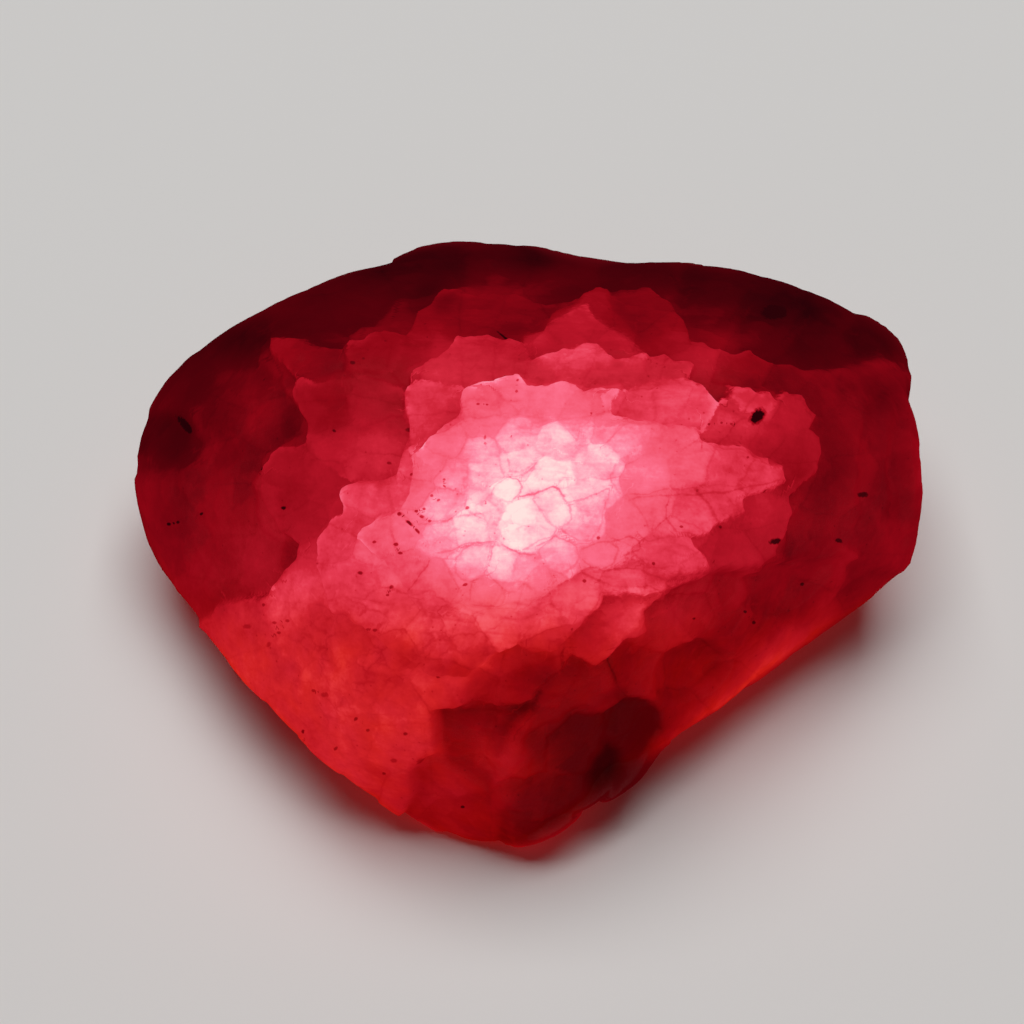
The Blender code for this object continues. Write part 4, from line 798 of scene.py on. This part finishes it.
d, squares = cube_sphere(GRID)
d = d + FRONT_PULL * line_of_sight()
d /= np.linalg.norm(d, axis=1)[:, None]
radius = blank_radius(d)
towards = facing(d)
seen = smooth((towards - SEEN_FROM) / (SEEN_FULLY - SEEN_FROM))
u, v = laid_out(d, radius, seen)
u_edge, v_edge = wander(*wander(u, v, *EDGE_BENDS), *FINE_BENDS)
depths = outline_depths(u_edge, v_edge)
gap, height = hidden_gap(d)
hidden = HIDDEN_LIFT + domes(gap, height, HIDDEN_DOME, HIDDEN_SHARPNESS)
flake_edge, flake_mark = cells(d * radius[:, None], FLAKE_SIZE, FLAKE_SEED)
skin = FLAKE_RISE * (2 * flake_mark - 1) - FLAKE_GROOVE * np.exp(-(flake_edge / GROOVE_WIDTH) ** 2)
radius = radius + seen * front_relief(u_edge, v_edge, depths) + (1 - seen) * hidden + skin
radius = np.minimum(radius, HEART_HEIGHT / np.maximum(-d[:, 2], 1e-6))
points = d * radius[:, None] + np.array([0, 0, HEART_HEIGHT])
centre = (points[:, :2].min(axis=0) + points[:, :2].max(axis=0)) / 2
points[:, :2] -= centre

# Painted light, for the material to read as emission: the levels on both sides of the nearest edge,
# blended with the painted glow of the hidden sides, which is stronger low down, near the torch below.
low = np.exp(-points[:, 2] / HIDDEN_GLOW_REACH)
behind = HIDDEN_GLOW + HIDDEN_GLOW_LOW * low + hills(u, v, 0, UNDER_TIP)
flake_tone = FLAKE_TONE * (flake_mark - 0.5)
lip = hills(u, v, 0, LIPS) * seen
edge_width = np.clip(hills(u, v, *EDGE_SOFTNESS) - LIP_CRISPNESS * lip, EDGE_LEAST, EDGE_MOST)
outer, inner, edge = edge_light(u_edge, v_edge, depths, edge_width)
outer = outer * seen + behind * (1 - seen) + flake_tone
inner = inner * seen + behind * (1 - seen) + flake_tone
rim = 1 - smooth(towards / RIM_REACH)
warmth = WARM_FRONT * smooth((WARM_TOP - v) / WARM_DEPTH) + rim * smooth((RIM_TOP - v) / RIM_DEPTH)
warmth = np.clip(warmth, 0, 1) * seen + (1 - seen) * (HIDDEN_WARMTH + HIDDEN_WARMTH_LOW * low)

# The line between the two nearest scales, on the front and, where that ends, on the hidden sides.
front_gap = scale_gap(u_edge, v_edge)
first, other, first_gap, other_gap = two_nearest(front_gap)
apart = 2 * np.linalg.norm(SCALE_LIST[first, :2] - SCALE_LIST[other, :2], axis=1)
reach = (other_gap - first_gap) / apart
side = np.where(first > other, reach, -reach)
own, next_to = scale_light(u_edge, v_edge, first), scale_light(u_edge, v_edge, other)
next_to = np.where(reach < EDGE_REACH, next_to, own)
low_tone, high_tone = np.where(first > other, next_to, own), np.where(first > other, own, next_to)
pair = np.stack([first + other, first * other, first * 0], axis=1)
pair_strength = LINE_LEAST + (1 - LINE_LEAST) * scatter(pair, PAIR_SEED)
torch_gap = np.hypot(u - TORCH[0], v - TORCH[1])
near_torch = np.exp(-(torch_gap / LINE_REACH) ** 2)
line = LINE_FAR + LINE_NEAR * near_torch
hidden_first, hidden_other, hidden_near, hidden_next = two_nearest(gap)
hidden_reach = (hidden_next - hidden_near) / HIDDEN_APART * radius
at_back = seen < 0.5
reach = np.where(at_back, hidden_reach, reach)
side = np.where(at_back, np.where(hidden_first > hidden_other, hidden_reach, -hidden_reach), side)
line = line * (1 - np.clip(hills(u, v, 0, LINE_CALM), 0, 1))
line = np.where(at_back, LINE_HIDDEN, line * pair_strength) * np.abs(2 * seen - 1)
tone = HIDDEN_TONE * height / HIDDEN_RISE
own = tone[hidden_first]
next_to = np.where(hidden_reach < EDGE_REACH, tone[hidden_other], own)
later = hidden_first > hidden_other
low_tone = np.where(at_back, np.where(later, next_to, own), low_tone) * np.abs(2 * seen - 1)
high_tone = np.where(at_back, np.where(later, own, next_to), high_tone) * np.abs(2 * seen - 1)
scale_width = SCALE_SOFT + (SCALE_CRISP - SCALE_SOFT) * np.where(at_back, 1, near_torch)
crack_side, crack_reach, crack_dark = path_distance(u_edge, v_edge, CRACKS)
grain, grain_dark = grain_place(u, v)

mesh = bpy.data.meshes.new("sapphire_stone")
mesh.from_pydata(points * MM, [], squares)
mesh.polygons.foreach_set("use_smooth", np.ones(len(squares), bool))
ATTRIBUTES = {
    "light": (outer, inner, 1 / edge_width),
    "scale": (low_tone, high_tone, side / scale_width),
    "line": (side, reach, line),
    "crack": (crack_side, crack_reach, crack_dark * seen),
    "lip": (edge, lip, warmth),
    "grain": tuple(grain.T),
    "skin": (grain_dark * seen, np.clip(hills(u, v, 0, FINE_FLAKES), 0, 1) * seen, seen),
}
for name, values in ATTRIBUTES.items():
    data = mesh.attributes.new(name, "FLOAT_VECTOR", "POINT").data
    data.foreach_set("vector", np.stack(values, axis=1).astype(np.float32).ravel())
mesh.update()
stone = bpy.data.objects.new("sapphire_stone", mesh)
bpy.context.scene.collection.objects.link(stone)


def linear(hex_colour):
    """An sRGB hex colour turned to linear, with an alpha of 1."""
    values = np.array([int(hex_colour[k:k + 2], 16) for k in (1, 3, 5)]) / 255
    values = np.where(values <= 0.04045, values / 12.92, ((values + 0.055) / 1.055) ** 2.4)
    return (*values.tolist(), 1.0)


def add(tree, kind, inputs=None, **settings):
    """Adds one node, sets its settings, gives its inputs their values or links, and returns its
    outputs."""
    node = tree.nodes.new("ShaderNode" + kind)
    for name, value in settings.items():
        setattr(node, name, value)
    for key, value in (inputs or {}).items():
        if isinstance(value, bpy.types.NodeSocket):
            tree.links.new(value, node.inputs[key])
        else:
            node.inputs[key].default_value = value
    return node.outputs


# Colour of the painted glow at each level, given to the emission.
GLOW = [
    (0.00, "#1c0104"), (0.20, "#520108"), (0.34, "#8c0613"), (0.50, "#b41426"), (0.60, "#ce2438"),
    (0.67, "#e43a52"), (0.73, "#f0546c"), (0.82, "#fa6c88"), (0.875, "#fc8ea8"), (0.925, "#fdb6c4"),
    (1.00, "#ffe2de"),
]


def worn_corundum():
    """Ruby-red corundum, river worn: silky, finely pitted, cloudy, so light inside it spreads. Its glow is
    painted, as an emission colour from the stored levels of light.
    """
    material = bpy.data.materials.new("worn_red_corundum")
    material.use_nodes = True
    tree = material.node_tree
    shader = tree.nodes["Principled BSDF"]
    place = add(tree, "TexCoord")["Object"]
    stored = {}
    for name in ("light", "scale", "line", "crack", "lip", "skin"):
        vector = add(tree, "Attribute", attribute_name=name)["Vector"]
        stored[name] = add(tree, "SeparateXYZ", {0: vector})

    # Clouds, blotches, silk streaks and grain, each with its size in millimetres and its share.
    noises, marks = {}, 0.0
    for name, size, share, stretch in (("clouds", 1.8, 0.11, (1, 1, 1)), ("blotches", 0.6, 0.10, (1, 1, 1)),
                                       ("streaks", 0.26, 0.06, (0.2, 1, 1)),
                                       ("grain", 0.14, 0.05, (1, 1, 1))):
        laid = add(tree, "Mapping", {"Vector": place, "Rotation": (0.3, 0.2, 0.6), "Scale": stretch})
        noise = add(tree, "TexNoise", {"Vector": laid[0], "Scale": 1 / (size * MM), "Detail": 2.0,
                                       "Roughness": 0.6})
        noises[name] = add(tree, "Math", {0: noise["Fac"], 1: 0.5}, operation="SUBTRACT")[0]
        marks = add(tree, "Math", {0: noises[name], 1: share, 2: marks}, operation="MULTIPLY_ADD")[0]

    # Lines between scales, and cracks. Each line is where its signed distance is nought, but not
    # where the plain distance says that it is far away. It is a dark core in a wide soft shade.
    for name in ("line", "crack"):
        across = add(tree, "Math", {0: stored[name][0]}, operation="ABSOLUTE")
        clear = add(tree, "Math", {0: stored[name][1], 1: 0.1}, operation="SUBTRACT")
        across = add(tree, "Math", {0: across[0], 1: clear[0]}, operation="MAXIMUM")
        across = add(tree, "Math", {0: noises["grain"], 1: 0.10, 2: across[0]}, operation="MULTIPLY_ADD")
        strength = add(tree, "Math", {0: noises["clouds"], 1: 3.5, 2: 0.75},
                       operation="MULTIPLY_ADD", use_clamp=True)
        strength = add(tree, "Math", {0: strength[0], 1: stored[name][2]}, operation="MULTIPLY")
        for half_width, depth in ((0.08, -0.07), (0.26, -0.035)):
            shade = add(tree, "MapRange", {"Value": across[0], "From Min": 0.0, "From Max": half_width,
                                           "To Min": depth, "To Max": 0.0}, interpolation_type="SMOOTHSTEP")
            marks = add(tree, "Math", {0: shade[0], 1: strength[0], 2: marks}, operation="MULTIPLY_ADD")[0]

    # Fine flakes, about a millimetre long, in patches: each has its own tone and a dark edge.
    bent = add(tree, "VectorMath", {0: noises["blotches"], 1: (0.9 * MM, -0.8 * MM, 0.7 * MM)},
               operation="MULTIPLY")
    bent = add(tree, "VectorMath", {0: bent[0], 1: place}, operation="ADD")
    bent = add(tree, "Mapping", {"Vector": bent[0], "Rotation": (0.0, 0.0, -0.4), "Scale": (0.6, 1, 1)})
    patch = add(tree, "Math", {0: noises["clouds"], 1: -6.0, 2: 0.5},
                operation="MULTIPLY_ADD", use_clamp=True)
    patch = add(tree, "Math", {0: patch[0], 1: stored["skin"][1]}, operation="MULTIPLY")
    flakes = {0: bent[0], "Scale": 1 / (0.75 * MM)}
    border = add(tree, "TexVoronoi", flakes, feature="DISTANCE_TO_EDGE")
    border = add(tree, "MapRange", {"Value": border["Distance"], "From Min": 0.0, "From Max": 0.16,
                                    "To Min": -0.05, "To Max": 0.0}, interpolation_type="SMOOTHSTEP")
    own = add(tree, "SeparateXYZ", {0: add(tree, "TexVoronoi", flakes)["Color"]})
    own = add(tree, "Math", {0: own[0], 1: 0.05, 2: -0.015}, operation="MULTIPLY_ADD")
    own = add(tree, "Math", {0: own[0], 1: border[0]}, operation="ADD")
    marks = add(tree, "Math", {0: own[0], 1: patch[0], 2: marks}, operation="MULTIPLY_ADD")[0]

    # Pits like pin pricks, 0.1 mm wide and clustered, and rarer dark specks. Spacing in millimetres,
    # half width in spacings, depth, and how much the clouds cluster them.
    for spacing, half_width, depth, clustering in ((0.33, 0.20, -0.10, 1.6), (0.9, 0.10, -0.16, 1.4)):
        dots = add(tree, "TexVoronoi", {"Vector": place, "Scale": 1 / (spacing * MM)})
        chance = add(tree, "SeparateXYZ", {0: dots["Color"]})
        chance = add(tree, "Math", {0: noises["clouds"], 1: clustering, 2: chance[0]},
                     operation="MULTIPLY_ADD")
        here = add(tree, "Math", {0: chance[0], 1: 0.22}, operation="LESS_THAN")
        ragged = add(tree, "Math", {0: noises["grain"], 1: 0.25, 2: dots["Distance"]},
                     operation="MULTIPLY_ADD")
        dot = add(tree, "MapRange", {"Value": ragged[0], "From Min": 0.0, "From Max": half_width,
                                     "To Min": depth, "To Max": 0.0}, interpolation_type="SMOOTHSTEP")
        marks = add(tree, "Math", {0: dot[0], 1: here[0], 2: marks}, operation="MULTIPLY_ADD")[0]

    # Light: a smooth step between the levels outside and inside the nearest edge, then the same
    # between the tones of two scales. Blotches and grain make both steps ragged.
    ragged = add(tree, "Math", {0: noises["blotches"], 1: 0.35, 2: stored["lip"][0]},
                 operation="MULTIPLY_ADD")
    ragged = add(tree, "Math", {0: noises["grain"], 1: 0.30, 2: ragged[0]}, operation="MULTIPLY_ADD")
    at_edge = ragged[0]
    across = add(tree, "Math", {0: at_edge, 1: stored["light"][2]}, operation="MULTIPLY")
    between = add(tree, "Math", {0: noises["blotches"], 1: 1.2, 2: stored["scale"][2]},
                  operation="MULTIPLY_ADD")
    levels = []
    for name, way in (("light", across), ("scale", between)):
        step = add(tree, "MapRange", {"Value": way[0], "From Min": -1.0, "From Max": 1.0},
                   interpolation_type="SMOOTHSTEP")
        levels.append(add(tree, "Mix", {0: step[0], 2: stored[name][0], 3: stored[name][1]})[0])
    level = add(tree, "Math", {0: levels[0], 1: levels[1]}, operation="ADD")

    # All marks are fainter where the stone is thick and dark, as they lie in front of less light.
    strength = add(tree, "MapRange", {"Value": levels[0], "From Min": 0.2, "From Max": 0.6, "To Min": 0.25,
                                      "To Max": 1.0})
    level = add(tree, "Math", {0: marks, 1: strength[0], 2: level[0]}, operation="MULTIPLY_ADD")

    # Lips: bright just inside a broken edge, in broken bits, and dark just outside it.
    bits = add(tree, "Math", {0: noises["blotches"], 1: 4.0, 2: 0.7},
               operation="MULTIPLY_ADD", use_clamp=True)
    bits = add(tree, "Math", {0: bits[0], 1: stored["lip"][1]}, operation="MULTIPLY")
    for ends, height in (((-0.02, 0.06, 0.06, 0.40), 0.14), ((-0.30, -0.04, -0.03, 0.01), -0.05)):
        rise = add(tree, "MapRange", {"Value": at_edge, "From Min": ends[0], "From Max": ends[1]},
                   interpolation_type="SMOOTHSTEP")
        fall = add(tree, "MapRange", {"Value": at_edge, "From Min": ends[2], "From Max": ends[3],
                                      "To Min": height, "To Max": 0.0}, interpolation_type="SMOOTHSTEP")
        lip = add(tree, "Math", {0: rise[0], 1: fall[0]}, operation="MULTIPLY")
        level = add(tree, "Math", {0: lip[0], 1: bits[0], 2: level[0]}, operation="MULTIPLY_ADD")

    # Dark grains, with ragged edges. They take light away, which leaves a dark red.
    middle = add(tree, "Attribute", attribute_name="grain")["Vector"]
    far = add(tree, "VectorMath", {0: middle}, operation="LENGTH")
    ragged = add(tree, "Math", {0: noises["blotches"], 1: 0.6, 2: far["Value"]}, operation="MULTIPLY_ADD")
    ragged = add(tree, "Math", {0: noises["grain"], 1: 0.7, 2: ragged[0]}, operation="MULTIPLY_ADD")
    inside = add(tree, "MapRange", {"Value": ragged[0], "From Min": 0.5, "From Max": 1.15,
                                    "To Min": 1.0, "To Max": 0.0}, interpolation_type="SMOOTHSTEP")
    inside = add(tree, "Math", {0: inside[0], 1: stored["skin"][0]}, operation="MULTIPLY")
    level = add(tree, "Math", {0: inside[0], 1: -0.38, 2: level[0]}, operation="MULTIPLY_ADD")

    ramp = add(tree, "ValToRGB", {"Fac": level[0]})
    stops = ramp["Color"].node.color_ramp.elements
    for position, colour in GLOW[1:-1]:
        stops.new(position).color = linear(colour)
    stops[0].color = linear(GLOW[0][1])
    stops[-1].color = linear(GLOW[-1][1])
    uneven = add(tree, "Math", {0: noises["clouds"], 1: 1.5, 2: 1.0}, operation="MULTIPLY_ADD")
    uneven = add(tree, "Math", {0: uneven[0], 1: stored["lip"][2]}, operation="MULTIPLY", use_clamp=True)
    warm = add(tree, "Mix", {0: uneven[0], 6: ramp["Color"], 7: linear("#ffe488")},
               data_type="RGBA", blend_type="MULTIPLY")

    # Only a solid grain is black.
    solid = add(tree, "MapRange", {"Value": inside[0], "From Min": 0.65, "From Max": 0.95},
                interpolation_type="SMOOTHSTEP")
    dark = add(tree, "Mix", {0: solid[0], 6: warm[2], 7: linear("#1c0004")}, data_type="RGBA")

    # The painted glow: this colour is the emission, which stands in for the torch light through the stone.
    tree.links.new(dark[2], shader.inputs["Emission Color"])
    shader.inputs["Emission Strength"].default_value = 1.0
    body = add(tree, "Mix", {0: stored["skin"][2], 6: linear("#3c080e"), 7: linear("#240205")},
               data_type="RGBA")
    tree.links.new(body[2], shader.inputs["Base Color"])
    shader.inputs["Roughness"].default_value = 0.45
    shader.inputs["IOR"].default_value = 1.77

    # The skin is pitted, so its sheen is faint where it is faced and lost where it is seen edge on.
    turned_away = add(tree, "LayerWeight", {"Blend": 0.5})["Facing"]
    sheen = add(tree, "MapRange", {"Value": turned_away, "From Min": 0.15, "From Max": 0.45, "To Min": 0.02,
                                   "To Max": 0.0}, interpolation_type="SMOOTHSTEP")
    bare = add(tree, "MapRange", {"Value": stored["skin"][2], "To Min": 10.0, "To Max": 1.0})
    sheen = add(tree, "Math", {0: sheen[0], 1: bare[0]}, operation="MULTIPLY")
    tree.links.new(sheen[0], shader.inputs["Specular IOR Level"])
    shader.inputs["Specular Tint"].default_value = linear("#ff8c90")
    bump = add(tree, "Bump", {"Height": noises["grain"], "Distance": 0.04 * MM, "Strength": 0.5})
    tree.links.new(bump["Normal"], shader.inputs["Normal"])
    return material


mesh.materials.append(worn_corundum())
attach(stone, "root")
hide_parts("sapphire")

# ---------------------------------------------------------------------------------------------
# The studio: a plain pale table, one large soft lamp above it, faint light all round, the camera.

FLOOR_HALF = 2.0        # metres
floor_mesh = bpy.data.meshes.new("pale_table")
corners = [(x * FLOOR_HALF, y * FLOOR_HALF, 0) for x, y in ((-1, -1), (1, -1), (1, 1), (-1, 1))]
floor_mesh.from_pydata(corners, [], [(0, 1, 2, 3)])
floor = bpy.data.objects.new("pale_table", floor_mesh)
bpy.context.scene.collection.objects.link(floor)
paper = bpy.data.materials.new("matt_paper")
paper.use_nodes = True
paper.node_tree.nodes["Principled BSDF"].inputs["Base Color"].default_value = linear("#eceae8")
paper.node_tree.nodes["Principled BSDF"].inputs["Roughness"].default_value = 0.9
floor_mesh.materials.append(paper)

LAMP_DISTANCE = 0.5     # metres
lamp = bpy.data.lights.new("top_softbox", "AREA")
lamp.size = 0.4
lamp.energy = 2.0
softbox = bpy.data.objects.new("top_softbox", lamp)
overhead = unit(90, 80)
softbox.location = overhead * LAMP_DISTANCE
softbox.rotation_euler = Vector(overhead).to_track_quat("Z", "Y").to_euler()
bpy.context.scene.collection.objects.link(softbox)

world = bpy.data.worlds.new("soft_room")
world.use_nodes = True
world.node_tree.nodes["Background"].inputs["Color"].default_value = linear("#ffffff")
world.node_tree.nodes["Background"].inputs["Strength"].default_value = 0.03
bpy.context.scene.world = world
bpy.context.scene.view_settings.view_transform = "Standard"

# Camera: at the sight height, looking at a point a little left of and above the heart. Lengths in
# mm, those of the lens too.
AIM_RIGHT, AIM_UP = -0.82, 1.36
LENS, SENSOR = 100.0, 36.0
heart = np.array([-centre[0], -centre[1], HEART_HEIGHT])
e = np.radians(SIGHT_HEIGHT)
right, up = np.array([1.0, 0, 0]), np.array([0, np.sin(e), np.cos(e)])
aim = heart + AIM_RIGHT * right + AIM_UP * up
camera = bpy.data.objects.new("camera", bpy.data.cameras.new("camera"))
camera.data.lens = LENS
camera.data.sensor_width = SENSOR
camera.data.clip_start = 0.005
camera.location = (aim + SIGHT_DISTANCE * line_of_sight()) * MM
camera.rotation_euler = (np.radians(90 - SIGHT_HEIGHT), 0, 0)
bpy.context.scene.collection.objects.link(camera)
bpy.context.scene.camera = camera
